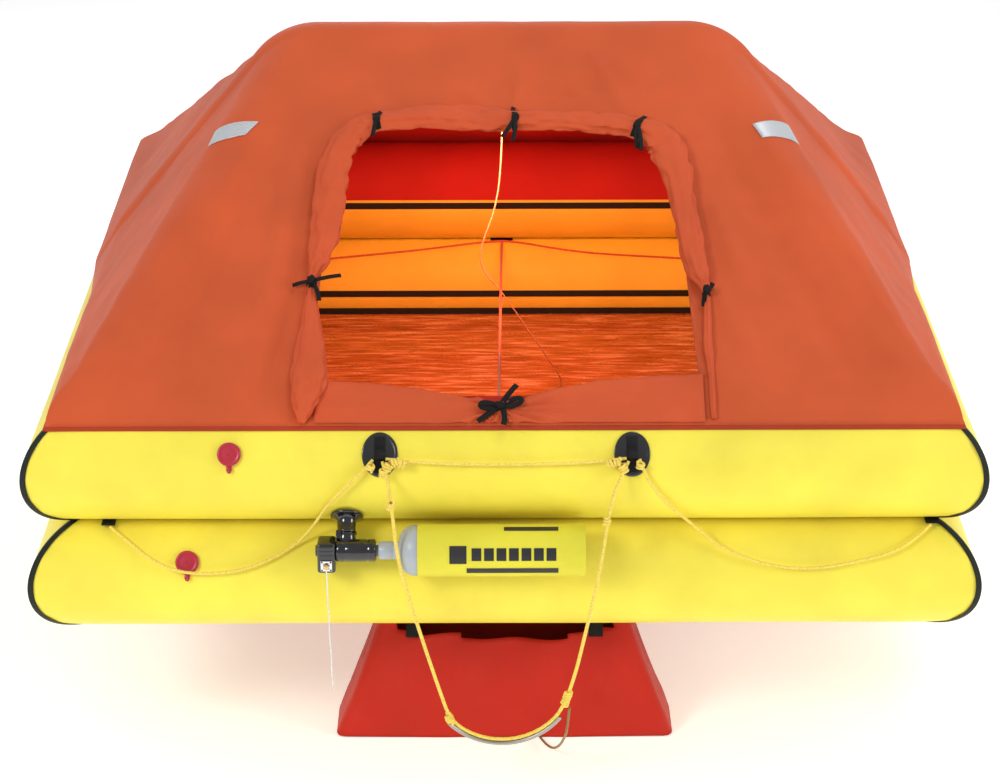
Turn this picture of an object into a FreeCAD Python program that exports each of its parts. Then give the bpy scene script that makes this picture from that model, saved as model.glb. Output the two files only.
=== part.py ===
import FreeCAD, Part
import math
import os
import Sketcher

# Inflated six-person canopied liferaft, standing on its four water ballast pockets.
# X runs along the doorway side, +Y to the back, +Z up. The origin is under the middle
# of the whole raft, gas bottle included, on the plane of the pockets' bottoms.

V = FreeCAD.Vector
doc = FreeCAD.newDocument("Liferaft")

# Driving dimensions, in millimetres and degrees
DIMENSIONS = [
    ("tube_radius", 135, "buoyancy tube, outside"),
    ("tube_pitch", 260, "lower tube centre to upper tube centre"),
    ("ring_side", 1830, "side of the square that the tube centres follow"),
    ("raft_shift", 40, "raft middle behind the origin"),
    ("pocket_drop", 343, "underside of the lower tube above the pockets' bottoms"),
    ("clearance", 0.3, "gap between pieces that lie on each other"),
    ("tape_width", 18, "seam tape"),
    ("tape_thickness", 1.2, "seam tape"),
    ("girth_tape_width", 18, "tape along the inside of the tubes"),
    ("arch_radius", 65, "canopy arch tube, outside"),
    ("arch_foot_half", 905, "arch foot, from the raft middle"),
    ("arch_foot_rise", 178, "bend of the arch leg above the upper tube centre"),
    ("arch_top_rise", 668, "arch beam above the upper tube centre"),
    ("arch_top_half", 506, "bend of the arch beam, from the raft middle"),
    ("arch_foot_bend", 90, "bend radius at the foot"),
    ("arch_top_bend", 130, "bend radius at the beam"),
    ("cloth_clearance", 1.0, "canopy off the arch at the lines between its ruled strips"),
    ("canopy_wall", 3, "canopy sheet with its coating and hems"),
    ("attach_angle", 54, "canopy seam, up from the tube's outermost line"),
    ("door_half_bottom", 431, "doorway half width at the sill"),
    ("door_half_top", 392, "doorway half width at the head"),
    ("door_bottom", 50, "doorway sill, up the slope from the canopy seam"),
    ("door_top", 852, "doorway head, up the slope from the canopy seam"),
    ("door_corner", 95, "doorway head corner radius"),
    ("roll_thickness", 11, "half thickness of the rolled door flap"),
    ("sill_thickness", 5, "gathered door sill"),
    ("tie_width", 13, "door tie tape"),
    ("floor_thickness", 3, "floor sheet"),
    ("floor_drop", 67, "floor below the lower tube centre"),
    ("mat_thickness", 14, "insulating floor mat"),
    ("mat_margin", 24, "mat edge inside the floor edge"),
    ("mat_round", 8.4, "mat upper edge rounding"),
    ("pocket_top_width", 491, "ballast pocket at the floor"),
    ("pocket_bottom_width", 784, "ballast pocket at its bottom"),
    ("pocket_top_depth", 170, "ballast pocket at the floor, fore and aft"),
    ("pocket_bottom_depth", 165, "ballast pocket at its bottom, fore and aft"),
    ("pocket_top_inset", 130, "outer panel's upper edge inside the tube centres"),
    ("pocket_bottom_inset", 50, "outer panel's lower edge inside the tube centres"),
    ("pocket_wall", 2.5, "pocket cloth with its hems"),
    ("pocket_slot", 172, "water slot, down from the floor"),
    ("side_pocket_shift", 145, "side pockets behind the raft middle"),
    ("weight_radius", 8, "ballast rod in the pocket's bottom"),
    ("weight_half", 150, "ballast rod, half length"),
    ("strap_width", 34, "pocket hanging strap"),
    ("strap_thickness", 2, "pocket hanging strap"),
    ("strap_half_gap", 235, "strap middle from the pocket middle"),
    ("strap_length", 178, "pocket hanging strap"),
    ("bottle_radius", 56, "gas bottle"),
    ("bottle_left", -230, "bottle shoulder's small end"),
    ("bottle_right", 171, "bottle base"),
    ("bottle_shoulder", 34, "shoulder rounding"),
    ("bottle_base_round", 24, "base rounding"),
    ("neck_radius", 20, "bottle neck"),
    ("neck_left", -275, "bottle neck's end"),
    ("spigot_radius", 12, "threaded spigot"),
    ("spigot_left", -291, "threaded spigot's end"),
    ("sleeve_wall", 1.7, "bottle cover"),
    ("sleeve_left", -190, "bottle cover's left hem"),
    ("sleeve_right", 175, "bottle cover's right hem"),
    ("bottle_angle", 34.7, "bottle axis, up from the lower tube's outermost line"),
    ("barrel_radius", 25, "firing head barrel"),
    ("barrel_left", -368, "firing head barrel"),
    ("barrel_right", -280, "firing head barrel"),
    ("groove_depth", 1, "grooves round the barrel"),
    ("groove_width", 3, "grooves round the barrel"),
    ("left_groove", -350, "groove round the barrel, its left edge"),
    ("right_groove", -301, "groove round the barrel, its left edge"),
    ("stem_place", -346, "inlet stem along the tube"),
    ("stem_radius", 23, "inlet stem at the barrel"),
    ("flange_radius", 36.5, "inlet flange on the upper tube"),
    ("flange_thickness", 8, "inlet flange on the upper tube"),
    ("lever_width", 40, "trigger housing along the tube"),
    ("lever_depth", 50, "trigger housing, fore and aft"),
    ("lever_top", 26, "trigger housing above the bottle axis"),
    ("lever_bottom", 45, "trigger housing below the bottle axis"),
    ("lever_round", 7, "trigger housing edges"),
    ("rib_width", 30, "ribs across the trigger housing's front"),
    ("rib_height", 3, "ribs across the trigger housing's front"),
    ("rib_depth", 1.2, "ribs across the trigger housing's front"),
    ("rib_pitch", 9, "ribs across the trigger housing's front"),
    ("rib_low", -3, "lowest rib above the bottle axis"),
    ("pin_drop", 25, "firing pin below the bottle axis"),
    ("pin_radius", 4.5, "firing pin"),
    ("pin_length", 30, "firing pin"),
    ("pin_stand", 9, "firing pin in front of the housing"),
    ("pin_clearance", 0.4, "firing pin in its bore"),
    ("bezel_side", 25, "bezel round the firing pin"),
    ("bezel_thickness", 3, "bezel round the firing pin"),
    ("valve_angle", 27.5, "valves, up from the tube's outermost line"),
    ("upper_valve_place", -596, "upper valve along the tube"),
    ("lower_valve_place", -698, "lower valve along the tube"),
    ("valve_flange_radius", 22, "valve seat"),
    ("valve_flange_thickness", 3, "valve seat"),
    ("valve_stub_radius", 15, "valve seat inside the tube"),
    ("valve_stub_length", 18, "valve seat inside the tube"),
    ("valve_bore", 9, "valve bore radius"),
    ("cap_radius", 26, "valve cap"),
    ("cap_height", 7.5, "valve cap"),
    ("cap_crown", 2.5, "valve cap edge rounding"),
    ("cap_plug", 6, "valve cap plug length"),
    ("tab_width", 13, "valve cap tab"),
    ("tab_length", 11, "valve cap tab past the rim"),
    ("fitting_angle", 27, "line fittings, up from the tube's outermost line"),
    ("left_fitting_place", -270, "left line fitting along the tube"),
    ("right_fitting_place", 276, "right line fitting along the tube"),
    ("fitting_width", 78, "oval patch"),
    ("fitting_height", 99, "oval patch"),
    ("fitting_thickness", 3, "oval patch"),
    ("webbing_width", 24, "webbing loop"),
    ("webbing_thickness", 3, "webbing loop"),
    ("loop_reach", 15, "webbing loop out from the patch"),
    ("loop_half_height", 12, "webbing loop"),
    ("line_radius", 3.5, "lifelines and bridle"),
    ("ladder_radius", 4, "boarding ladder rope"),
    ("step_radius", 5, "boarding step"),
    ("grab_radius", 2.5, "grab line inside the raft"),
    ("pocket_line_radius", 3, "line from the ladder to the ballast pocket"),
    ("lamp_cord_radius", 1.75, "cord that hangs from the arch"),
    ("pull_cord_radius", 1.5, "cord on the firing pin"),
    ("reflector_half_width", 62, "reflective patch"),
    ("reflector_half_height", 26, "reflective patch"),
    ("reflector_place", 632, "reflective patch from the raft middle"),
    ("reflector_up", 843, "reflective patch, up the slope"),
    ("reflector_thickness", 1.2, "reflective patch"),
]


class Size:
    """A length that knows both its number and the formula that gives it."""

    def __init__(self, number, formula):
        self.number = number
        self.formula = formula

    def joined(self, other, sign, result):
        return Size(result, f"({self.formula} {sign} {formula_of(other)})")

    def __add__(self, other):
        return self.joined(other, "+", self.number + number_of(other))

    def __sub__(self, other):
        return self.joined(other, "-", self.number - number_of(other))

    def __mul__(self, other):
        return self.joined(other, "*", self.number * number_of(other))

    def __truediv__(self, other):
        return self.joined(other, "/", self.number / number_of(other))

    def __neg__(self):
        return Size(-self.number, f"(0 - {self.formula})")

    def __float__(self):
        return float(self.number)


def number_of(value):
    return value.number if isinstance(value, Size) else float(value)


def formula_of(value):
    return value.formula if isinstance(value, Size) else str(value)


sheet = doc.addObject("Spreadsheet::Sheet", "Sizes")
for line, (alias, value, note) in enumerate(DIMENSIONS, start=1):
    sheet.set(f"A{line}", note)
    sheet.set(f"B{line}", str(value))
    sheet.setAlias(f"B{line}", alias)
doc.recompute()
S = {alias: Size(float(sheet.get(alias)), f"Sizes.{alias}") for alias, _, _ in DIMENSIONS}
N = {alias: float(size) for alias, size in S.items()}

LOWER_Z = S["pocket_drop"] + S["tube_radius"]
UPPER_Z = LOWER_Z + S["tube_pitch"]
GLUE_Z = LOWER_Z + S["tube_pitch"] / 2
RING_HALF = S["ring_side"] / 2
MIDDLE_Y = S["raft_shift"]
FRONT_Y = MIDDLE_Y - RING_HALF
gap = N["clearance"]

pieces = []


def keep(label, shape_or_object):
    """Registers a sub-part: a document object, or a bare shape that gets a feature."""
    if isinstance(shape_or_object, Part.Shape):
        feature = doc.addObject("Part::Feature", label)
        feature.Shape = shape_or_object
        feature.Placement = shape_or_object.Placement
    else:
        feature = shape_or_object
    feature.Label = label
    pieces.append(feature)
    return feature


def bind(feature, **properties):
    for name, size in properties.items():
        setattr(feature, name, float(size))
        feature.setExpression(name, formula_of(size))


def new_body(name):
    return doc.addObject("PartDesign::Body", name)


def new_sketch(body, name, role, offset=None):
    sketch = body.newObject("Sketcher::SketchObject", name)
    plane = next(f for f in body.Origin.OriginFeatures if f.Role == role)
    sketch.AttachmentSupport = [(plane, "")]
    sketch.MapMode = "FlatFace"
    if offset is not None:
        sketch.setExpression("AttachmentOffset.Base.z", formula_of(offset))
    return sketch


def tie_down(sketch, edge, corner, x, y):
    """Holds one corner of a sketch edge at bound coordinates."""
    for kind, value in (("DistanceX", x), ("DistanceY", y)):
        rule = Sketcher.Constraint(kind, -1, 1, edge, corner, float(value))
        place = sketch.addConstraint(rule)
        if isinstance(value, Size):
            sketch.setExpression(f"Constraints[{place}]", value.formula)


def outline(sketch, corners):
    """A closed outline of straight edges through bound corners."""
    first = sketch.GeometryCount
    count = len(corners)
    spots = [V(float(x), float(y), 0) for x, y in corners]
    for i in range(count):
        sketch.addGeometry(Part.LineSegment(spots[i], spots[(i + 1) % count]))
    for i in range(count):
        following = first + (i + 1) % count
        sketch.addConstraint(Sketcher.Constraint("Coincident", first + i, 2, following, 1))
    for i, (x, y) in enumerate(corners):
        tie_down(sketch, first + i, 1, x, y)


def circle(sketch, x, y, radius):
    edge = sketch.addGeometry(Part.Circle(V(float(x), float(y), 0), V(0, 0, 1), float(radius)))
    rule = sketch.addConstraint(Sketcher.Constraint("Radius", edge, float(radius)))
    if isinstance(radius, Size):
        sketch.setExpression(f"Constraints[{rule}]", radius.formula)
    tie_down(sketch, edge, 3, x, y)


def revolve(body, name, role, corners, axis):
    sketch = new_sketch(body, f"{name}Profile", role)
    outline(sketch, corners)
    turned = body.newObject("PartDesign::Revolution", name)
    turned.Profile = (sketch, [""])
    turned.ReferenceAxis = (sketch, [axis])
    turned.Angle = 360
    return turned


def pad(body, name, sketch, length):
    raised = body.newObject("PartDesign::Pad", name)
    raised.Profile = (sketch, [""])
    bind(raised, Length=length)
    return raised


def pocket(body, name, sketch, length, reverse=False):
    cut = body.newObject("PartDesign::Pocket", name)
    cut.Profile = (sketch, [""])
    cut.Reversed = reverse
    bind(cut, Length=length)
    return cut


def fillet(body, name, base, radius, chosen):
    """Rounds the edges of the last feature for which chosen(edge) holds."""
    doc.recompute()
    names = [f"Edge{i}" for i, edge in enumerate(base.Shape.Edges, start=1) if chosen(edge)]
    rounded = body.newObject("PartDesign::Fillet", name)
    rounded.Base = (base, names)
    bind(rounded, Radius=radius)
    return rounded


def rounded_path(points, radii):
    """Edges of a path whose corners are tangent arcs; also gives the arcs' radii."""
    edges, used = [], []
    start = points[0]
    for i in range(1, len(points) - 1):
        before = (points[i - 1] - points[i]).normalize()
        after = (points[i + 1] - points[i]).normalize()
        turn = math.pi - before.getAngle(after)
        runs = (points[i - 1] - points[i]).Length, (points[i + 1] - points[i]).Length
        radius = radii[i - 1] if radii else 0.45 * min(runs) / math.tan(turn / 2)
        trim = radius * math.tan(turn / 2)
        one = points[i] + before * trim
        two = points[i] + after * trim
        inward = (before + after).normalize()
        middle = points[i] + inward * (radius / math.cos(turn / 2) - radius)
        edges.append(Part.LineSegment(start, one).toShape())
        edges.append(Part.Arc(one, middle, two).toShape())
        used.append(radius)
        start = two
    edges.append(Part.LineSegment(start, points[-1]).toShape())
    return edges, used


def disc(centre, normal, radius):
    return Part.Wire(Part.makeCircle(radius, centre, normal))


def tube_along(points, radius, radii=None):
    """A round tube along straight runs and tangent arcs."""
    edges, used = rounded_path(points, radii)
    spine = Part.Wire(edges)
    profile = disc(points[0], points[1] - points[0], radius)
    return spine.makePipeShell([profile], True, False), spine.Length, used


def tube_ring_body(name, centre_z):
    """A square ring of tube with mitred corners, flat where the two rings are glued."""
    body = new_body(name)
    path = new_sketch(body, f"{name}Path", "XY_Plane")
    half = RING_HALF
    outline(path, [(0, -half), (half, -half), (half, half), (-half, half), (-half, -half)])
    profile = new_sketch(body, f"{name}Section", "YZ_Plane")
    circle(profile, -half, 0, S["tube_radius"])
    pipe = body.newObject("PartDesign::AdditivePipe", f"{name}Pipe")
    pipe.Profile = (profile, [""])
    pipe.Spine = (path, [f"Edge{i}" for i in range(1, 6)])
    pipe.Transition = "Right corner"
    body.setExpression("Placement.Base.y", MIDDLE_Y.formula)
    body.setExpression("Placement.Base.z", centre_z.formula)
    return body


def flat_band_cut(body, name, above):
    """Cuts the glued flat band: everything past half the pitch."""
    far = S["ring_side"]
    sign = 1 if above else -1
    sketch = new_sketch(body, f"{name}Flat", "XY_Plane", S["tube_pitch"] / 2 * sign)
    outline(sketch, [(-far, -far), (far, -far), (far, far), (-far, far)])
    pocket(body, f"{name}FlatCut", sketch, S["tube_radius"], reverse=above)


def ring_solid(radius, centre_z):
    """A plain copy of a tube ring of any radius, used as a cutting tool."""
    half = float(RING_HALF)
    corners = [(0, -half), (half, -half), (half, half), (-half, half), (-half, -half), (0, -half)]
    base = V(0, N["raft_shift"], centre_z)
    wire = Part.makePolygon([base + V(x, y, 0) for x, y in corners])
    profile = disc(base + V(0, -half, 0), V(1, 0, 0), radius)
    return wire.makePipeShell([profile], True, False, 1)


def on_tube(centre_z, angle, along, outward, upward=0.0):
    """A point on the doorway side: out from the tube's surface and up along it."""
    turn = math.radians(angle)
    reach = N["tube_radius"] + outward
    y = float(FRONT_Y) - reach * math.cos(turn) + upward * math.sin(turn)
    z = float(centre_z) + reach * math.sin(turn) + upward * math.cos(turn)
    return V(along, y, z)


def tube_frame(centre_z, angle, along, outward=0.0):
    """A placement whose +Z points out of the tube and +Y up along its surface."""
    turn = math.radians(angle)
    out = V(0, -math.cos(turn), math.sin(turn))
    up = V(0, math.sin(turn), math.cos(turn))
    rotation = FreeCAD.Rotation(V(1, 0, 0), up, out, "ZXY")
    return FreeCAD.Placement(on_tube(centre_z, angle, along, outward), rotation)


# Buoyancy tubes: two sealed rings of coated cloth, glued along a flat band. The rings
# have holes for the valve seats.
def valve_hole(along, centre_z):
    hole = Part.makeCylinder(
        N["valve_stub_radius"] + gap, N["valve_stub_length"] + gap + 5, V(0, 0, 0), V(0, 0, -1)
    )
    hole.Placement = tube_frame(centre_z, N["valve_angle"], along, 5)
    return hole


for label, centre_z, above, along in (
    ("lower_tube", LOWER_Z, True, N["lower_valve_place"]),
    ("upper_tube", UPPER_Z, False, N["upper_valve_place"]),
):
    ring = tube_ring_body(f"{label}_ring", centre_z)
    flat_band_cut(ring, f"{label}_ring", above)
    hole = doc.addObject("Part::Feature", f"{label}_valve_hole")
    hole.Shape = valve_hole(along, centre_z)
    drilled = doc.addObject("Part::Cut", label)
    drilled.Base = ring
    drilled.Tool = hole
    keep(label, drilled)
doc.recompute()


# Inner tapes: flat black bands along the inside of the tubes and round the floor's edge
def square_band(outer_half, thickness, bottom, height):
    def block(half):
        return Part.makeBox(2 * half, 2 * half, height, V(-half, float(MIDDLE_Y) - half, bottom))

    return block(outer_half).cut(block(outer_half - thickness))


inner_half = float(RING_HALF) - N["tube_radius"]
girth = N["girth_tape_width"]
for label, centre_z in (("lower_inner_tape", LOWER_Z), ("upper_inner_tape", UPPER_Z)):
    band = square_band(inner_half - gap, N["tape_thickness"], float(centre_z) - girth / 2, girth)
    keep(label, band)

# Floor: one sheet glued round the inside of the lower tube, and the loose insulating mat
FLOOR_Z = LOWER_Z - S["floor_drop"]
MAT_Z = FLOOR_Z + S["floor_thickness"]
floor_bottom = float(FLOOR_Z)


def room_at(height):
    """Half width between the lower tube's sides at a height, clear of them."""
    rise = height - LOWER_Z
    inward = math.sqrt(N["tube_radius"] ** 2 - float(rise) ** 2)
    bulge = Size(inward, f"sqrt(Sizes.tube_radius ^ 2 - {rise.formula} ^ 2)")
    return RING_HALF - bulge - S["clearance"]


def square_pad(label, half, low, thickness):
    """A square sheet round the raft's middle."""
    body = new_body(label)
    sketch = new_sketch(body, f"{label}_outline", "XY_Plane")
    outline(sketch, [(-half, -half), (half, -half), (half, half), (-half, half)])
    sheet_pad = pad(body, f"{label}_pad", sketch, thickness)
    body.setExpression("Placement.Base.y", MIDDLE_Y.formula)
    body.setExpression("Placement.Base.z", low.formula)
    return body, sheet_pad


floor_half = room_at(MAT_Z)
floor_body, _ = square_pad("floor", floor_half, FLOOR_Z, S["floor_thickness"])
keep("floor", floor_body)

tape_half = min(float(floor_half), float(room_at(MAT_Z + S["girth_tape_width"] + S["clearance"])))
keep("floor_edge_tape", square_band(tape_half, N["tape_thickness"], float(MAT_Z), girth))

mat_body, mat_pad = square_pad("floor_mat", floor_half - S["mat_margin"], MAT_Z, S["mat_thickness"])
fillet(
    mat_body, "MatRound", mat_pad, S["mat_round"],
    lambda edge: edge.BoundBox.ZMin > N["mat_thickness"] / 2,
)
keep("floor_mat", mat_body)


# Arch: an inflated hoop over the middle that holds the canopy up
arch_top_z = float(UPPER_Z) + N["arch_top_rise"]
arch_foot_z = float(UPPER_Z) + N["arch_foot_rise"]


def arch_outline(grow, base_z):
    """Corners of the hoop's centre line moved outward, in the X-Z plane."""
    leg = V(N["arch_top_half"] - N["arch_foot_half"], 0, arch_top_z - arch_foot_z).normalize()
    out = V(leg.z, 0, -leg.x)
    foot_x = N["arch_foot_half"] + grow
    start = V(N["arch_foot_half"], 0, arch_foot_z) + out * grow
    kink = start + leg * ((foot_x - start.x) / leg.x)
    top = start + leg * ((arch_top_z + grow - start.z) / leg.z)
    right = [V(foot_x, 0, base_z), kink, top]
    left = [V(-p.x, 0, p.z) for p in right]
    return left + right[::-1]


def arch_bends(grow):
    foot, top = N["arch_foot_bend"] + grow, N["arch_top_bend"] + grow
    return [foot, top, top, foot]


middle = V(0, float(MIDDLE_Y), 0)
arch_base_z = float(UPPER_Z) + N["tube_radius"] - 30
arch_points = [p + middle for p in arch_outline(0, arch_base_z)]
arch, _, _ = tube_along(arch_points, N["arch_radius"], arch_bends(0))
upper_ring_tool = ring_solid(N["tube_radius"], float(UPPER_Z))
keep("arch_tube", arch.cut(upper_ring_tool))

# Canopy: one sewn sheet from the seam on the upper tube up over the arch. It is the space
# under an outer skin less the space under an inner one, and both are ruled through the seam
# lines at the two ends and the arch's outline where the cloth leaves it and over its top.
seam_turn = math.radians(N["attach_angle"])
seam_out = float(RING_HALF) + N["tube_radius"] * math.cos(seam_turn)
seam_z = float(UPPER_Z) + N["tube_radius"] * math.sin(seam_turn)
seam_bevel = 6
skirt = 60


def slope_to(radius, y, z):
    """Slope of the cloth from a seam point to the arch, tangent to a radius round it."""
    run, rise = -y, arch_top_z - z
    return math.atan2(rise, run) + math.asin(radius / math.hypot(run, rise))


def seam_section(y, z, half, bottom):
    points = [V(half, 0, bottom), V(half, 0, z - 1.5), V(half - seam_bevel, 0, z)]
    points = [V(-p.x, 0, p.z) for p in points] + points[::-1]
    edges, _ = rounded_path([p + V(0, y, 0) for p in points], [0.4] * 4)
    edges.append(Part.LineSegment(points[-1] + V(0, y, 0), points[0] + V(0, y, 0)).toShape())
    return Part.Wire(edges)


def arch_section(y, grow, bottom):
    points = [p + V(0, y, 0) for p in arch_outline(grow, bottom)]
    edges, _ = rounded_path(points, arch_bends(grow))
    edges.append(Part.LineSegment(points[-1], points[0]).toShape())
    return Part.Wire(edges)


def under_canopy(lift, bottom):
    """The space under the canopy's inner face, moved outward by lift."""
    radius = N["arch_radius"] + N["cloth_clearance"] + lift
    slope = slope_to(N["arch_radius"] + N["cloth_clearance"], -seam_out, seam_z)
    seam_y = seam_out + lift * math.sin(slope)
    seam_height = seam_z + lift * math.cos(slope)
    sections = []
    for side in (-1, 1):
        ends = [seam_section(side * seam_y, seam_height, seam_out + lift, bottom)]
        for share in (1.0, 0.5):
            turn = slope * share
            ends.append(arch_section(side * radius * math.sin(turn), radius * math.cos(turn), bottom))
        sections.append(ends)
    wires = sections[0] + [arch_section(0, radius, bottom)] + sections[1][::-1]
    solid = Part.makeLoft(wires, True, True)
    solid.translate(middle)
    return solid


panel_slope = slope_to(N["arch_radius"] + N["cloth_clearance"], -seam_out, seam_z)
panel_up = V(0, math.cos(panel_slope), math.sin(panel_slope))
panel_out = V(0, -math.sin(panel_slope), math.cos(panel_slope))
panel_base = V(0, float(MIDDLE_Y) - seam_out, seam_z)


def on_panel(x, up, out=0.0):
    """A point on the doorway panel: along it, up its slope and out from its inner face."""
    return panel_base + V(x, 0, 0) + panel_up * up + panel_out * out


def door_outline(out):
    low, high = N["door_bottom"], N["door_top"]
    narrow, wide = N["door_half_top"], N["door_half_bottom"]
    corners = [(0, low), (wide, low), (narrow, high), (-narrow, high), (-wide, low), (0, low)]
    points = [on_panel(x, up, out) for x, up in corners]
    sill_corner, head_corner = N["door_corner"] / 8, N["door_corner"]
    edges, _ = rounded_path(points, [sill_corner, head_corner, head_corner, sill_corner])
    return Part.Wire(edges)


canopy = under_canopy(N["canopy_wall"], seam_z - skirt).cut(under_canopy(0, seam_z - skirt - 1))
canopy = canopy.cut(ring_solid(N["tube_radius"] + gap, float(UPPER_Z)))
door_cutter = Part.Face(door_outline(-40)).extrude(panel_out * 80)
canopy = canopy.cut(door_cutter)
canopy = max(canopy.Solids, key=lambda solid: solid.Volume)


# Canopy panels: the flat front and back with the cloth over the arch, and the two curved ends.
# They meet where the flat panels stop, from the seam's corners to the ends of the arch's beam.
def end_block(side):
    """Everything past one end of the flat panels."""
    beam_turn = math.atan2(arch_top_z - arch_foot_z, N["arch_foot_half"] - N["arch_top_half"])
    beam_end = N["arch_top_half"] - N["arch_top_bend"] * math.tan(beam_turn / 2)
    beam_z = arch_top_z + (N["arch_radius"] + N["cloth_clearance"]) * math.cos(panel_slope)
    edge_x = seam_out - seam_bevel
    lean = (edge_x - beam_end) / (beam_z - seam_z)
    low_z, high_z = seam_z - 2 * skirt, beam_z + skirt
    high_x = beam_end + (beam_z - high_z) * lean
    far = N["ring_side"]
    corners = [(edge_x, low_z), (far, low_z), (far, high_z), (high_x, high_z)]
    corners += [(edge_x, seam_z), (edge_x, low_z)]
    face = Part.Face(Part.makePolygon([V(side * x, -far, z) for x, z in corners]))
    return face.extrude(V(0, 2 * far, 0))


centre_cloth = canopy.cut(end_block(-1)).cut(end_block(1))
room = N["ring_side"]
end_cloth = canopy
for label, start_y in (("canopy_front", -room), ("canopy_back", 0)):
    half_box = Part.makeBox(2 * room, room, 2 * room, V(-room, start_y, 0) + middle)
    panel = max(centre_cloth.common(half_box).Solids, key=lambda solid: solid.Volume)
    keep(label, panel)
    end_cloth = end_cloth.cut(panel)
for end in end_cloth.Solids:
    keep("canopy_left" if end.CenterOfMass.x < 0 else "canopy_right", end)


# Seam tapes: one band over each mitred corner of each ring
def slab(width, height, corner):
    """A thin upright slab through a corner of the raft, along its mitre."""
    length = 4 * N["tube_radius"]
    box = Part.makeBox(length, width, height, V(-length / 2, -width / 2, -height / 2))
    side_x, side_y = corner
    half = float(RING_HALF)
    spin = FreeCAD.Rotation(V(0, 0, 1), 45 if side_x == side_y else -45)
    place = V(side_x * half, float(MIDDLE_Y) + side_y * half, 0)
    box.Placement = FreeCAD.Placement(place, spin)
    return box


cloth_over_tapes = under_canopy(N["canopy_wall"] + gap, seam_z - skirt)
corner_tapes = {}
CORNERS = [(-1, -1), (1, -1), (1, 1), (-1, 1)]
far = N["ring_side"]
for label, centre_z, lowest in (
    ("lower_corner_tapes", LOWER_Z, float(GLUE_Z) - far),
    ("upper_corner_tapes", UPPER_Z, float(GLUE_Z)),
):
    z = float(centre_z)
    skin = ring_solid(N["tube_radius"] + N["tape_thickness"], z).cut(ring_solid(N["tube_radius"], z))
    kept_side = Part.makeBox(2 * far, 2 * far, far, V(-far, -far, lowest))
    bands = []
    for corner in CORNERS:
        band = slab(N["tape_width"], 4 * N["tube_radius"], corner)
        band.translate(V(0, 0, z))
        bands.append(skin.common(band).common(kept_side))
    half = float(RING_HALF)
    inner_block = Part.makeBox(2 * half, 2 * half, 2 * far, V(-half, float(MIDDLE_Y) - half, 0))
    bands = [band.cut(inner_block).cut(cloth_over_tapes) for band in bands]
    corner_tapes[label] = Part.makeCompound([solid for band in bands for solid in band.Solids])
    keep(label, corner_tapes[label])


# Reflective patches: thin plates on the canopy's shoulders
reflector_lift = N["canopy_wall"] + gap
reflector_skin = under_canopy(reflector_lift + N["reflector_thickness"], seam_z).cut(
    under_canopy(reflector_lift, seam_z - 1)
)
reflectors = []
for side in (-1, 1):
    x, up = side * N["reflector_place"], N["reflector_up"]
    wide, high = N["reflector_half_width"], N["reflector_half_height"]
    lean = side * 6
    corners = [(-wide, lean - high), (wide, -lean - high), (wide, high - lean), (-wide, high + lean)]
    loop = Part.makePolygon([on_panel(x + dx, up + du, -150) for dx, du in corners + corners[:1]])
    reflectors += reflector_skin.common(Part.Face(loop).extrude(panel_out * 300)).Solids
keep("reflective_patches", Part.makeCompound(reflectors))

# Rolled door flap: gathered cloth along the doorway's head and sides, drawn in by ties.
# Each station is a place on the panel, the roll's half width there and whether it is tied.
ROLL_STATIONS = [
    (-432, 14, 26, False), (-430, 117, 40, False), (-427, 235, 24, False), (-431, 376, 10, True),
    (-417, 440, 23, False), (-404, 520, 32, False), (-396, 620, 35, False), (-388, 716, 34, False),
    (-366, 785, 33, False), (-334, 826, 31, False), (-295, 843, 26, True), (-213, 855, 29, False),
    (-123, 860, 33, False), (-35, 852, 34, False), (28, 848, 26, True), (106, 849, 27, False),
    (180, 845, 27, False), (254, 838, 29, False), (312, 822, 28, True), (368, 788, 41, False),
    (391, 725, 39, False), (410, 614, 28, False), (421, 514, 28, False), (436, 408, 24, False),
    (453, 347, 8, True), (450, 218, 10, False), (454, 130, 7, False), (455, 14, 6, False),
]
tie_half = N["tie_width"] / 2


def station_list():
    """The stations, with the roll kept even across each tie."""
    found = []
    for i, (x, up, half, tied) in enumerate(ROLL_STATIONS):
        before = ROLL_STATIONS[max(i - 1, 0)]
        after = ROLL_STATIONS[min(i + 1, len(ROLL_STATIONS) - 1)]
        way = V(after[0] - before[0], after[1] - before[1], 0).normalize()
        shifts = (-tie_half - 2, tie_half + 2) if tied else (0,)
        for shift in shifts:
            found.append((x + way.x * shift, up + way.y * shift, half, way))
    return found


def roll_section(x, up, half, way, grow=0.0):
    thick = min(N["roll_thickness"], 0.75 * half)
    across = V(1, 0, 0) * -way.y + panel_up * way.x
    centre = on_panel(x, up, N["canopy_wall"] + gap + thick)
    long_tip, short_tip = centre + across * (half + grow), centre + panel_out * (thick + grow)
    if half >= thick:
        ellipse = Part.Ellipse(long_tip, short_tip, centre)
    else:
        ellipse = Part.Ellipse(short_tip, long_tip, centre)
    return Part.Wire(ellipse.toShape())


keep("door_roll", Part.makeLoft([roll_section(*s) for s in station_list()], True, True))

# Door ties: tape bands round the roll
ties = []
stations = station_list()
for i in range(1, len(stations)):
    x, up, half, way = stations[i]
    if half != stations[i - 1][2] or way != stations[i - 1][3]:
        continue
    start = (x - way.x * (2 + N["tie_width"]), up - way.y * (2 + N["tie_width"]), half, way)
    run = (V(1, 0, 0) * way.x + panel_up * way.y) * N["tie_width"]
    outer = Part.Face(roll_section(*start, grow=gap + N["tape_thickness"])).extrude(run)
    inner = Part.Face(roll_section(*start, grow=gap)).extrude(run)
    ties += outer.cut(inner).Solids
canopy_skin = under_canopy(N["canopy_wall"] + gap / 2, seam_z - skirt)
keep("door_ties", Part.makeCompound([tie.cut(canopy_skin) for tie in ties]))

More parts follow.
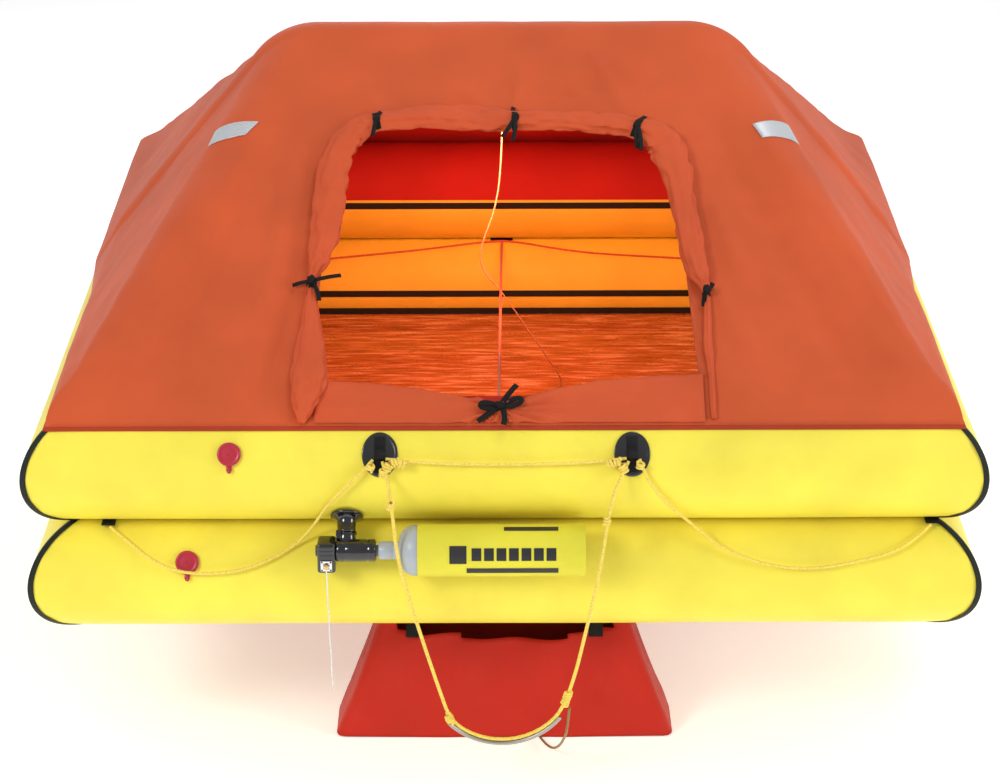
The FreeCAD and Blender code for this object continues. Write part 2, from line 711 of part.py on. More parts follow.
# Door sill: the lower flap, gathered and tied at its middle, so its edge dips there
SILL_EDGE = [
    (436, 129), (349, 126), (222, 115), (128, 96), (27, 66), (-30, 58), (-124, 81), (-218, 97),
    (-320, 110), (-384, 113),
]
sill_left, sill_right, sill_low = -384, 436, 4
sill_out = N["canopy_wall"] + gap
sill_points = [on_panel(sill_right, sill_low, sill_out)]
sill_points += [on_panel(x, up, sill_out) for x, up in SILL_EDGE]
sill_points += [on_panel(sill_left, sill_low, sill_out)]
sill_edges, _ = rounded_path(sill_points, None)
sill_edges.append(Part.LineSegment(sill_points[-1], sill_points[0]).toShape())
keep("door_sill", Part.Face(Part.Wire(sill_edges)).extrude(panel_out * N["sill_thickness"]))


# Ballast pockets: weighted cloth bags hung under the floor, open where water runs in
def pocket_block(shrink, top_extra):
    """The bag's outer form less shrink on each side, as a loft from floor to bottom."""
    sections = []
    slope = (N["pocket_bottom_width"] - N["pocket_top_width"]) / 2 / floor_bottom
    lean = (N["pocket_top_inset"] - N["pocket_bottom_inset"]) / floor_bottom
    for z in (shrink, floor_bottom + top_extra):
        share = z / floor_bottom
        half = N["pocket_bottom_width"] / 2 - slope * z - shrink
        near = float(FRONT_Y) + N["pocket_bottom_inset"] + lean * z + shrink
        depth = N["pocket_bottom_depth"] + (N["pocket_top_depth"] - N["pocket_bottom_depth"]) * share
        far = near + depth - 2 * shrink
        corners = [(-half, near), (half, near), (half, far), (-half, far), (-half, near)]
        sections.append(Part.makePolygon([V(x, y, z) for x, y in corners]))
    return Part.makeLoft(sections, True, True)


slot_bottom = floor_bottom - N["pocket_slot"]
slot_half = N["strap_half_gap"]
slot_dip = 14


def pocket_shape():
    bag = pocket_block(0, 0).cut(pocket_block(N["pocket_wall"], 1))
    near = float(FRONT_Y)
    half_low, half_top = slot_half + 20, slot_half - 20
    left, right = V(-half_low, near, slot_bottom + 20), V(half_low, near, slot_bottom + 20)
    lower = Part.Arc(left, V(0, near, slot_bottom - slot_dip), right).toShape()
    upper = [right, V(half_top, near, floor_bottom - 6), V(-half_top, near, floor_bottom - 6), left]
    sides = [Part.LineSegment(a, b).toShape() for a, b in zip(upper, upper[1:])]
    window = Part.Face(Part.Wire([lower] + sides)).extrude(V(0, N["pocket_top_inset"] + 60, 0))
    return bag.cut(window)


def strap_shape():
    """Two webbing straps from the floor to the outer panel's upper edge."""
    lean = math.atan2(N["pocket_top_inset"] - N["pocket_bottom_inset"], floor_bottom)
    straps = []
    width, thickness, length = N["strap_width"], N["strap_thickness"], N["strap_length"]
    for side in (-1, 1):
        strap = Part.makeBox(width, thickness, length, V(-width / 2, -thickness - gap, -length))
        top = V(side * (N["strap_half_gap"] - 24), float(FRONT_Y) + N["pocket_top_inset"], floor_bottom)
        strap.Placement = FreeCAD.Placement(top, FreeCAD.Rotation(V(1, 0, 0), -math.degrees(lean)))
        straps.append(strap.common(Part.makeBox(4000, 4000, floor_bottom, V(-2000, -2000, 0))))
    return Part.makeCompound(straps)


def weight_shape():
    """The steel rod that lies in the pocket's bottom."""
    radius, half = N["weight_radius"], N["weight_half"]
    y = float(FRONT_Y) + N["pocket_bottom_inset"] + N["pocket_bottom_depth"] / 2
    start = V(-half, y, N["pocket_wall"] + gap + radius)
    return Part.makeCylinder(radius, 2 * half, start, V(1, 0, 0))


shift = N["side_pocket_shift"]
POCKET_SIDES = [("front", 0, 0), ("right", 90, shift), ("back", 180, 0), ("left", 270, shift)]
bag, straps, weight = pocket_shape(), strap_shape(), weight_shape()
all_straps, all_weights = [], []
for side, turn, back in POCKET_SIDES:
    for source, store in ((bag, None), (straps, all_straps), (weight, all_weights)):
        copy = source.copy()
        copy.rotate(middle, V(0, 0, 1), turn)
        copy.translate(V(0, back, 0))
        if store is None:
            keep(f"ballast_pocket_{side}", copy)
        else:
            store += copy.Solids
keep("pocket_straps", Part.makeCompound(all_straps))
keep("pocket_weights", Part.makeCompound(all_weights))

# Gas bottle: a pressure cylinder along the front of the lower tube, in a cloth cover
sleeve_radius = S["bottle_radius"] + S["sleeve_wall"] + S["clearance"]
bottle_reach = N["tube_radius"] + float(sleeve_radius) + gap
bottle_turn = math.radians(N["bottle_angle"])
axis_y = float(FRONT_Y) - bottle_reach * math.cos(bottle_turn)
axis_z = float(LOWER_Z) + bottle_reach * math.sin(bottle_turn)
axis = V(0, axis_y, axis_z)

bottle = new_body("gas_bottle")
shell = revolve(
    bottle, "BottleShell", "XY_Plane",
    [
        (S["spigot_left"], 0), (S["bottle_right"], 0), (S["bottle_right"], S["bottle_radius"]),
        (S["bottle_left"], S["bottle_radius"]), (S["bottle_left"], S["neck_radius"]),
        (S["neck_left"], S["neck_radius"]), (S["neck_left"], S["spigot_radius"]),
        (S["spigot_left"], S["spigot_radius"]),
    ],
    "H_Axis",
)


def rim_at(x):
    """Picks the bottle's full circle at a place along its axis."""
    def chosen(edge):
        if not isinstance(edge.Curve, Part.Circle):
            return False
        full_size = abs(edge.Curve.Radius - N["bottle_radius"]) < 0.01
        return full_size and abs(edge.Curve.Center.x - x) < 0.01

    return chosen


shoulder = fillet(bottle, "Shoulder", shell, S["bottle_shoulder"], rim_at(N["bottle_left"]))
fillet(bottle, "BaseRound", shoulder, S["bottle_base_round"], rim_at(N["bottle_right"]))
bottle.Placement = FreeCAD.Placement(axis, FreeCAD.Rotation())
keep("gas_bottle", bottle)

sleeve = new_body("bottle_cover")
sleeve_sketch = new_sketch(sleeve, "CoverSection", "YZ_Plane", S["sleeve_left"])
circle(sleeve_sketch, 0, 0, sleeve_radius)
circle(sleeve_sketch, 0, 0, S["bottle_radius"] + S["clearance"])
pad(sleeve, "CoverWall", sleeve_sketch, S["sleeve_right"] - S["sleeve_left"])
sleeve.Placement = FreeCAD.Placement(axis, FreeCAD.Rotation())
keep("bottle_cover", sleeve)

# Firing head: a barrel on the bottle's spigot with a boss for the inlet stem, whose axis
# points from the bottle's axis to the upper tube's centre
to_tube = V(0, float(FRONT_Y) - axis_y, float(UPPER_Z) - axis_z)
stem_reach = to_tube.Length
stem_frame = FreeCAD.Placement(
    axis + V(N["stem_place"], 0, 0), FreeCAD.Rotation(V(1, 0, 0), V(), to_tube, "ZXY")
)
head = new_body("firing_head")
barrel_left, barrel_right = S["barrel_left"] - S["stem_place"], S["barrel_right"] - S["stem_place"]
barrel_corners = [(barrel_left, 0), (barrel_left, S["barrel_radius"])]
for groove in (S["left_groove"] - S["stem_place"], S["right_groove"] - S["stem_place"]):
    groove_end = groove + S["groove_width"]
    groove_floor = S["barrel_radius"] - S["groove_depth"]
    barrel_corners += [(groove, S["barrel_radius"]), (groove, groove_floor)]
    barrel_corners += [(groove_end, groove_floor), (groove_end, S["barrel_radius"])]
barrel_corners += [(barrel_right, S["barrel_radius"]), (barrel_right, 0)]
revolve(head, "Barrel", "XY_Plane", barrel_corners, "H_Axis")
boss_sketch = new_sketch(head, "BossSection", "XY_Plane")
boss_height = S["barrel_radius"] + 12
circle(boss_sketch, 0, 0, S["stem_radius"] - 1.5)
pad(head, "Boss", boss_sketch, boss_height)
bore_sketch = new_sketch(head, "BoreSection", "YZ_Plane", S["spigot_left"] - S["stem_place"] - 1)
circle(bore_sketch, 0, 0, S["spigot_radius"] + S["clearance"])
pocket(head, "SpigotBore", bore_sketch, S["barrel_right"] - S["spigot_left"] + 2, reverse=True)
head.Placement = stem_frame
keep("firing_head", head)

stem_low = float(boss_height) + gap
flange_low = stem_reach - N["tube_radius"] - N["flange_thickness"]
flange_high = flange_low + 20
stem_corners = [
    (0, stem_low), (N["stem_radius"], stem_low), (N["stem_radius"] - 3, stem_low + 9),
    (N["stem_radius"] - 1, flange_low - 6), (N["flange_radius"] - 7, flange_low),
    (N["flange_radius"], flange_low + 3), (N["flange_radius"], flange_high), (0, flange_high),
]
stem_wire = Part.makePolygon([V(x, 0, z) for x, z in stem_corners + stem_corners[:1]])
stem = Part.Face(stem_wire).revolve(V(), V(0, 0, 1), 360)
stem.Placement = stem_frame
keep("inlet_valve", stem.cut(ring_solid(N["tube_radius"] + gap, float(UPPER_Z))))

# Trigger housing on the head's end, with the firing pin that slides out of its front
housing = new_body("trigger_housing")
lever_right = S["barrel_left"] - S["clearance"]
housing_sketch = new_sketch(housing, "HousingSection", "YZ_Plane", lever_right - S["lever_width"])
half_depth = S["lever_depth"] / 2
outline(housing_sketch, [
    (-half_depth, -S["lever_bottom"]), (half_depth, -S["lever_bottom"]),
    (half_depth, S["lever_top"]), (-half_depth, S["lever_top"]),
])
block = pad(housing, "HousingBlock", housing_sketch, S["lever_width"])
fillet(
    housing, "HousingRound", block, S["lever_round"],
    lambda edge: abs(edge.tangentAt(edge.FirstParameter).x) > 0.9,
)
disc_sketch = new_sketch(housing, "EndDisc", "YZ_Plane", lever_right - S["lever_width"] - 4)
circle(disc_sketch, 0, 0, S["spigot_radius"] + 1)
pad(housing, "EndDiscPad", disc_sketch, S["clearance"] + 4)
rib_sketch = new_sketch(housing, "RibOutline", "XZ_Plane", half_depth - S["clearance"])
rib_middle, rib_half = lever_right - S["lever_width"] / 2, S["rib_width"] / 2
rib_top = S["rib_low"] + S["rib_height"]
outline(rib_sketch, [
    (rib_middle - rib_half, S["rib_low"]), (rib_middle + rib_half, S["rib_low"]),
    (rib_middle + rib_half, rib_top), (rib_middle - rib_half, rib_top),
])
rib = pad(housing, "Rib", rib_sketch, S["rib_depth"] + S["clearance"])
ribs = housing.newObject("PartDesign::LinearPattern", "Ribs")
ribs.Originals = [rib]
ribs.Direction = (rib_sketch, ["V_Axis"])
ribs.Occurrences = 3
bind(ribs, Length=S["rib_pitch"] * 2)
housing.Tip = ribs
pin_sketch = new_sketch(housing, "PinBore", "XZ_Plane", half_depth)
pin_x = lever_right - S["lever_width"] / 2
circle(pin_sketch, pin_x, -S["pin_drop"], S["pin_radius"] + S["pin_clearance"])
pocket(housing, "PinBoreCut", pin_sketch, S["pin_length"] - S["pin_stand"] + 2)
housing.Placement = FreeCAD.Placement(axis, FreeCAD.Rotation())
keep("trigger_housing", housing)

front_face = axis_y - N["lever_depth"] / 2
pin_middle = V(float(pin_x), front_face, axis_z - N["pin_drop"])
side = N["bezel_side"]
bezel_corner = pin_middle + V(-side / 2, -N["bezel_thickness"], -side / 2)
bezel = Part.makeBox(side, N["bezel_thickness"], side, bezel_corner)
bezel = bezel.makeFillet(3, [e for e in bezel.Edges if abs(e.tangentAt(e.FirstParameter).y) > 0.9])
bezel_bore = N["pin_radius"] + N["pin_clearance"]
keep("pin_bezel", bezel.cut(Part.makeCylinder(bezel_bore, 20, pin_middle + V(0, 10, 0), V(0, -1, 0))))

pin = Part.makeCylinder(N["pin_radius"], N["pin_length"], pin_middle + V(0, -N["pin_stand"], 0), V(0, 1, 0))
head_disc = Part.makeCylinder(N["pin_radius"] + 1.5, 5, pin_middle + V(0, -N["pin_stand"], 0), V(0, 1, 0))
keep("firing_pin", pin.fuse(head_disc).removeSplitter())


# Valves: a seat glued into each tube and a red quarter-turn cap over it
def valve_seat_body(label, centre_z, along):
    body = new_body(label)
    low = S["clearance"]
    top = low + S["valve_flange_thickness"]
    revolve(
        body, f"{label}_turned", "XZ_Plane",
        [
            (0, -S["valve_stub_length"]), (S["valve_stub_radius"], -S["valve_stub_length"]),
            (S["valve_stub_radius"], low), (S["valve_flange_radius"], low), (S["valve_flange_radius"], top),
            (S["valve_bore"], top), (S["valve_bore"], top - S["cap_plug"] - 3),
            (0, top - S["cap_plug"] - 3),
        ],
        "V_Axis",
    )
    body.Placement = tube_frame(centre_z, N["valve_angle"], along)
    return body


def valve_cap_body(label, centre_z, along):
    body = new_body(label)
    seat_top = S["clearance"] + S["valve_flange_thickness"]
    ceiling = seat_top + S["clearance"]
    skirt_low = S["clearance"] * 2
    plug = S["valve_bore"] - S["clearance"]
    turned = revolve(
        body, f"{label}_turned", "XZ_Plane",
        [
            (0, seat_top - S["cap_plug"]), (plug, seat_top - S["cap_plug"]), (plug, ceiling),
            (S["valve_flange_radius"] + S["clearance"] * 2, ceiling),
            (S["valve_flange_radius"] + S["clearance"] * 2, skirt_low), (S["cap_radius"], skirt_low),
            (S["cap_radius"], S["cap_height"]), (0, S["cap_height"]),
        ],
        "V_Axis",
    )
    fillet(
        body, f"{label}_crown", turned, S["cap_crown"],
        lambda edge: isinstance(edge.Curve, Part.Circle)
        and abs(edge.Curve.Radius - N["cap_radius"]) < 0.01
        and abs(edge.Curve.Center.z - N["cap_height"]) < 0.01,
    )
    tab = new_sketch(body, f"{label}_tab_outline", "XY_Plane", skirt_low + 1)
    half = S["tab_width"] / 2
    far = -(S["cap_radius"] + S["tab_length"])
    near = -(S["cap_radius"] - 2)
    outline(tab, [(-half, far), (half, far), (half, near), (-half, near)])
    pad(body, f"{label}_tab", tab, S["clearance"] * 6)
    body.Placement = tube_frame(centre_z, N["valve_angle"], along)
    return body


for side_name, centre_z, along in (
    ("upper", UPPER_Z, N["upper_valve_place"]),
    ("lower", LOWER_Z, N["lower_valve_place"]),
):
    keep(f"{side_name}_valve_seat", valve_seat_body(f"{side_name}_valve_seat", centre_z, along))
    keep(f"{side_name}_valve_cap", valve_cap_body(f"{side_name}_valve_cap", centre_z, along))


# Line fittings: oval patches on the upper tube with a webbing loop each
def front_cylinder(radius):
    """A cylinder round the front upper tube's centre line."""
    half = float(RING_HALF)
    return Part.makeCylinder(radius, 2 * half, V(-half, float(FRONT_Y), float(UPPER_Z)), V(1, 0, 0))


def curved_plate(inner, outer, cutter):
    """The part of a layer round the front upper tube that lies inside the cutter."""
    return front_cylinder(outer).cut(front_cylinder(inner)).common(cutter)


def fitting(label_side, along):
    frame = tube_frame(UPPER_Z, N["fitting_angle"], along)
    rim = Part.Ellipse(V(), N["fitting_height"] / 2, N["fitting_width"] / 2).toShape()
    oval = Part.Face(Part.Wire(rim)).extrude(V(0, 0, 80))
    oval.rotate(V(), V(0, 0, 1), 90)
    oval.translate(V(0, 0, -30))
    oval.Placement = frame.multiply(oval.Placement)
    radius = N["tube_radius"]
    plate = curved_plate(radius, radius + N["fitting_thickness"], oval)
    keep(f"{label_side}_fitting_patch", plate)
    base = N["fitting_thickness"] + gap
    high, thick = N["loop_half_height"], N["webbing_thickness"]
    inner_high = high - thick
    reach_out = base + N["loop_reach"]
    width, side_x, bend_z = N["webbing_width"], -N["webbing_width"] / 2, reach_out - high
    legs = Part.makeBox(width, 2 * high, bend_z + 8, V(side_x, -high, -8))
    round_end = Part.makeCylinder(high, width, V(side_x, 0, bend_z), V(1, 0, 0))
    hole = Part.makeBox(2 * width, 2 * inner_high, bend_z + 9, V(-width, -inner_high, -9))
    hole_end = Part.makeCylinder(inner_high, 2 * width, V(-width, 0, bend_z), V(1, 0, 0))
    strap_half = 0.4 * N["fitting_height"]
    strap = Part.makeBox(width, 2 * strap_half, 60, V(side_x, -strap_half, -30))
    loop = legs.fuse(round_end).cut(hole).cut(hole_end)
    loop.Placement = frame.multiply(loop.Placement)
    strap.Placement = frame.multiply(strap.Placement)
    band = curved_plate(radius + base, radius + base + 2, strap)
    whole = loop.cut(front_cylinder(radius + base)).fuse(band)
    keep(f"{label_side}_webbing_loop", whole.removeSplitter())


fitting("left", N["left_fitting_place"])
fitting("right", N["right_fitting_place"])

# Cords: each route is a list of points from the raft's middle under the lower tube
ROUTES = {
    "boarding_line": (N["ladder_radius"], [
        (-264, -1048.9, 446.1), (-250, -1082, 403), (-241, -1112, 335), (-233, -1122, 255),
        (-213, -1121, 165), (-192, -1119, 88), (-170, -1119, 9), (-146, -1119, -73),
        (-121.2, -1119, -154.4), (-69.4, -1119, -191.3), (-6.8, -1119, -204.6), (55.8, -1119, -191.3),
        (107.6, -1119, -154.4), (132.5, -1119, -111.5), (155, -1119, -38), (171, -1119, 38),
        (187, -1119, 115), (202, -1119, 195), (214, -1112, 268), (224, -1098, 338),
        (240, -1080, 400), (268, -1048.9, 446.1),
    ]),
    "bridle_line": (N["line_radius"], [
        (-257.3, -1047, 451.5), (-190, -1055, 446), (-60, -1055, 441), (70, -1055, 441.5),
        (190, -1055, 446), (263.3, -1047, 451.5),
    ]),
    "left_lifeline": (N["line_radius"], [
        (-871, -986, 262), (-830, -1014, 240), (-773, -1043, 204), (-712, -1058, 184),
        (-647, -1056, 180), (-577, -1052, 186), (-507, -1040, 210), (-450, -1016, 238),
        (-412, -1022, 290), (-385, -1052, 345), (-345, -1063, 390), (-306, -1060, 428),
        (-284.9, -1048, 450),
    ]),
    "right_lifeline": (N["line_radius"], [
        (291.7, -1048, 450), (304, -1058, 415), (330, -1062, 375), (372, -1048, 325),
        (418, -1012, 272), (470, -1032, 232), (545, -1047, 203), (620, -1054, 189),
        (695, -1054, 189), (775, -1047, 202), (845, -1040, 217), (900, -1020, 240),
        (941, -986, 262),
    ]),
    "pocket_line": (N["pocket_line_radius"], [
        (143, -1117, -124), (138, -1100, -193), (136, -1070, -220), (126, -1010, -281),
        (110, -950, -326), (88, -900, -334), (78, -864.2, -335),
    ]),
    "inner_grab_line": (N["grab_radius"], [
        (-600, 805.4, 218.8), (-467, 811, 231), (-229, 830, 247), (-33, 857.2, 264), (29, 857.2, 264),
        (164, 831, 248), (276, 819, 238), (500, 810, 229), (600, 806, 222),
    ]),
    "cross_line": (N["line_radius"], [(0, 850.9, 262), (-6, 10, 375), (-12, -816.7, 492)]),
    "lamp_line": (N["lamp_cord_radius"], [
        (2, 0, 997.7), (-2, 0, 771), (-19, 0, 654), (-47, 0, 581), (-59, 10, 524), (-47, 20, 483),
        (-20, 27, 448), (10, 38, 404), (36, 53, 358), (62, 67, 312), (91, 84, 262), (118, 103, 212),
        (142, 124, 166), (154, 152, 131), (147, 174, 103), (132, 188, 86.8),
    ]),
}
raft_base = V(0, N["raft_shift"], N["pocket_drop"])
pin_tip = pin_middle + V(0, -N["pin_stand"] + 2.5, -N["pin_radius"] - 1.5)
ROUTES["pull_cord"] = (N["pull_cord_radius"], [
    pin_tip - raft_base + V(x, y, z)
    for x, y, z in (
        (0, 0, 0), (1.5, 1, -37), (1, 2, -75), (3, 2, -123), (3, 1, -172), (6, 1, -210),
        (5, 0, -250), (9, 0, -299),
    )
])
for name, (radius, route) in ROUTES.items():
    cord, length, bends = tube_along([V(*p) + raft_base for p in route], radius)
    section = math.pi * radius**2
    share = round(cord.Volume / section / length, 4)
    print(name, "length", round(length), "smallest radius", round(min(bends), 1), "volume share", share)
    keep(name, cord)

# Boarding step: a bent rod under the ladder rope
step_points = [V(-124, -1119, -160.4), V(-6.8, -1119, -211.6), V(122.6, -1119, -147.1)]
step_arc = Part.Arc(*[p + raft_base for p in step_points]).toShape()
step_start = step_arc.valueAt(step_arc.FirstParameter)
step_section = disc(step_start, step_arc.tangentAt(step_arc.FirstParameter), N["step_radius"])
keep("boarding_step", Part.Wire([step_arc]).makePipeShell([step_section], True, False))

# Lifeline anchors: webbing tabs held in the glued seam
tabs = []
for along in (-875, 945):
    tabs.append(Part.makeBox(30, 30, 2, V(along - 15, -985, 264) + raft_base))
tabs.append(Part.makeBox(62, 14.8, 2, V(-31, 860, 264) + raft_base))
for tape in corner_tapes.values():
    tabs = [tab.cut(tape) for tab in tabs]
keep("lifeline_anchors", Part.makeCompound([solid for tab in tabs for solid in tab.Solids]))

doc.recompute()
faults = [o.Label for o in doc.Objects if {"Invalid", "Error"} & set(o.State)]
for piece in pieces:
    shape = piece.Shape
    if shape.isNull() or not shape.isValid() or not shape.Solids:
        faults.append(piece.Label)
if faults:
    raise SystemExit(f"not built: {faults}")
os.makedirs("parts", exist_ok=True)
for piece in pieces:
    piece.Shape.exportStep(f"parts/{piece.Label}.step")
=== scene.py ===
import math

import bmesh
import bpy
from mathutils import Matrix, Vector, noise
from mathutils.bvhtree import BVHTree


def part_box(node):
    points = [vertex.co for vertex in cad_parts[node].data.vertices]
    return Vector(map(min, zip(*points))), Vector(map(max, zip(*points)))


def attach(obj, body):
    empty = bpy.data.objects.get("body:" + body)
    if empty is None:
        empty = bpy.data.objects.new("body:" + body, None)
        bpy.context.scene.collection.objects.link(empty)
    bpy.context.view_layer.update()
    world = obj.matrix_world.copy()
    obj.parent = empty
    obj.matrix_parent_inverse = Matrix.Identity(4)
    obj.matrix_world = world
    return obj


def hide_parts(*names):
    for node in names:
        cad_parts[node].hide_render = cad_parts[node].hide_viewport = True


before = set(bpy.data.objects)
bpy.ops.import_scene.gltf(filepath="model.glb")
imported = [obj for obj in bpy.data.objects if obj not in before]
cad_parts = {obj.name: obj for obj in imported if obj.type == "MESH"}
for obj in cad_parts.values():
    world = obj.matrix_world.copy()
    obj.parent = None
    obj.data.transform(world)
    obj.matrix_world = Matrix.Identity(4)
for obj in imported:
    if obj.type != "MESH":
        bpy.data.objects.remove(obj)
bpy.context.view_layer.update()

# The photograph's viewpoint, solved from the outlines of the tubes and of the doorway.
# The lens is in millimetres on Blender's own sensor, and the turns are in degrees.
camera = bpy.data.objects.new("camera", bpy.data.cameras.new("camera"))
camera.data.lens = 100.623
camera.data.clip_start, camera.data.clip_end = 0.5, 80
camera.location = (-0.0226, -6.5117, 3.2798)
camera.rotation_euler = [math.radians(turn) for turn in (67.0665, 0.0883, -0.1703)]
bpy.context.scene.collection.objects.link(camera)
bpy.context.scene.camera = camera

# Buoyancy tubes: two square rings of coated yellow cloth, glued one on the other.
# Each side is a straight run cut on the mitre, and the cloth puckers beside the welded
# corners. Sizes are in metres, and the raft's zero is its middle under the lower tube.
TUBE, HALF, GLUE = 0.135, 0.915, 0.265
LOWER, UPPER = 0.135, 0.395
BASE = Vector((0.0, 0.040, 0.343))


class Socket:
    """A node's output that can be used in sums."""

    def __init__(self, tree, output):
        self.tree, self.output = tree, output

    def math(self, operation, *others):
        node = self.tree.nodes.new("ShaderNodeMath")
        node.operation = operation
        for slot, value in zip(node.inputs, (self, *others)):
            plug(self.tree, slot, value)
        return Socket(self.tree, node.outputs[0])

    def __add__(self, other):
        return self.math("ADD", other)

    def __mul__(self, other):
        return self.math("MULTIPLY", other)

    __radd__ = __add__
    __rmul__ = __mul__

    def axis(self, name):
        node = self.tree.nodes.new("ShaderNodeSeparateXYZ")
        self.tree.links.new(self.output, node.inputs[0])
        return Socket(self.tree, node.outputs[name])


def plug(tree, slot, value):
    if isinstance(value, Socket):
        tree.links.new(value.output, slot)
    else:
        slot.default_value = value


class Paint:
    """A material with one Principled shader."""

    def __init__(self, name, color, roughness, **constants):
        self.material = bpy.data.materials.new(name)
        self.material.use_nodes = True
        self.tree = self.material.node_tree
        self.shader = self.tree.nodes["Principled BSDF"]
        self.shader.inputs["Base Color"].default_value = (*color, 1)
        self.shader.inputs["Roughness"].default_value = roughness
        for label, value in constants.items():
            self.shader.inputs[label.replace("_", " ")].default_value = value
        self.place = self.node("TexCoord", {}, "Object")

    def node(self, kind, inputs, output=0, **settings):
        node = self.tree.nodes.new(f"ShaderNode{kind}")
        for label, value in settings.items():
            setattr(node, label, value)
        for label, value in inputs.items():
            plug(self.tree, node.inputs[label], value)
        return Socket(self.tree, node.outputs[output])

    def noise(self, scale, detail=3.0, stretch=(1, 1, 1)):
        spot = self.node("Mapping", {"Vector": self.place, "Scale": stretch})
        return self.node("TexNoise", {"Vector": spot, "Scale": scale, "Detail": detail})

    def ramp(self, amount, *stops):
        node = self.tree.nodes.new("ShaderNodeValToRGB")
        while len(node.color_ramp.elements) < len(stops):
            node.color_ramp.elements.new(0.5)
        for element, (spot, color) in zip(node.color_ramp.elements, stops):
            element.position = spot
            element.color = (*color, 1)
        plug(self.tree, node.inputs[0], amount)
        return Socket(self.tree, node.outputs[0])

    def feed(self, label, value):
        plug(self.tree, self.shader.inputs[label], value)

    def bump(self, height, distance):
        self.feed("Normal", self.node("Bump", {"Height": height, "Distance": distance, "Strength": 1.0}))

    def weave(self, pitch):
        """Height of a plain weave of that pitch in metres."""
        turn = 2 * math.pi / pitch
        one = (self.place.axis("X") * turn).math("SINE")
        two = ((self.place.axis("Y") + self.place.axis("Z")) * turn).math("SINE")
        return one * two


def shades(color, dark, light):
    """A darker and a lighter shade of a colour."""
    return tuple(c * dark for c in color), tuple(min(1, c * light) for c in color)


def cloth(name, color, roughness=0.5, pitch=0.0011, depth=0.00012, soft=0.0008, **constants):
    """Coated cloth: weave under the coating, soft unevenness and slight colour drift."""
    paint = Paint(name, color, roughness, Specular_IOR_Level=0.22, **constants)
    low, high = shades(color, 0.90, 1.07)
    paint.feed("Base Color", paint.ramp(paint.noise(5, 4), (0.3, low), (0.7, high)))
    paint.feed("Roughness", paint.noise(40, 2) * 0.12 + (roughness - 0.06))
    height = paint.weave(pitch) * depth + paint.noise(24, 3) * soft
    paint.bump(height, 1.0)
    return paint.material


YELLOW = (0.955, 0.80, 0.078)
tube_cloth = cloth("tube_cloth", YELLOW, 0.40, soft=0.0012, Coat_Weight=0.06, Coat_Roughness=0.3)


def put(name, mesh, materials, body="raft"):
    """Makes an object of a mesh, shades it smooth and lets it ride on a body."""
    for polygon in mesh.polygons:
        polygon.use_smooth = True
    for material in materials:
        mesh.materials.append(material)
    piece = bpy.data.objects.new(name, mesh)
    bpy.context.scene.collection.objects.link(piece)
    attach(piece, body)
    return piece


def recoat(label, material):
    """Gives a carried-over solid a material of the scene."""
    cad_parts[label].data.materials.clear()
    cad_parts[label].data.materials.append(material)


def lofted(rows, around=True, ends=False):
    """Vertices and faces of a skin through rows of points, closed round each row if asked."""
    count = len(rows[0])
    points = [point for row in rows for point in row]
    faces = []
    for i in range(len(rows) - 1):
        for j in range(count if around else count - 1):
            k = (j + 1) % count
            faces.append((i * count + j, i * count + k, (i + 1) * count + k, (i + 1) * count + j))
    if ends:
        faces.append(tuple(range(count))[::-1])
        faces.append(tuple((len(rows) - 1) * count + j for j in range(count)))
    return points, faces


def mesh_of(name, part):
    """A mesh of a part, which is its points and its faces."""
    points, faces = part
    mesh = bpy.data.meshes.new(name)
    mesh.from_pydata(points, [], faces)
    mesh.update()
    return mesh


def joined(parts):
    """Several parts as one."""
    points, faces = [], []
    for more, loops in parts:
        start = len(points)
        points += more
        faces += [tuple(start + i for i in loop) for loop in loops]
    return points, faces


CORNERS = [Vector((-1, -1)), Vector((1, -1)), Vector((1, 1)), Vector((-1, 1))]


def ring_point(side, share, turn, radius, centre):
    """A point of a ring: side number, share of the side's length and angle round it."""
    start, end = CORNERS[side] * HALF, CORNERS[(side + 1) % 4] * HALF
    ahead = (end - start).normalized()
    out = Vector((ahead.y, -ahead.x))
    reach = radius * math.cos(turn)
    along = start + ahead * (share * (2 * HALF + 2 * reach) - reach) + out * reach
    return BASE + Vector((along.x, along.y, centre + radius * math.sin(turn)))


AROUND, ALONGSIDE, GLUE_GAP = 112, 44, 0.0004


def tube_ring(name, centre, flat_above, seed):
    """One ring, with its rows closer near the mitres and a flat where the rings are glued."""
    shares = [0.5 - 0.5 * math.cos(math.pi * i / ALONGSIDE) for i in range(ALONGSIDE + 1)]
    limit = BASE.z + GLUE
    parts = []
    for side in range(4):
        rows = []
        for share in shares:
            row = []
            for j in range(AROUND):
                turn = 2 * math.pi * j / AROUND
                length = 2 * HALF + 2 * TUBE * math.cos(turn)
                travelled = share * length
                near = min(travelled, length - travelled)
                pucker = math.sin(turn * 13 + seed + side) * math.sin(turn * 5 + 2 * seed)
                dent = -0.0016 * (1 + pucker) * math.exp(-near / 0.035)
                wave = 0.0010 * noise.noise(Vector((travelled * 3, turn * 1.3, seed + side)))
                spot = ring_point(side, share, turn, TUBE + dent + wave - 0.0006, centre)
                spot.z = min(spot.z, limit - GLUE_GAP) if flat_above else max(spot.z, limit + GLUE_GAP)
                row.append(spot)
            rows.append(row)
        parts.append(lofted(rows))
    piece = put(f"{name}_skin", mesh_of(name, joined(parts)), [tube_cloth])
    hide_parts(name)


tube_ring("lower_tube", LOWER, True, 1.0)
tube_ring("upper_tube", UPPER, False, 4.0)

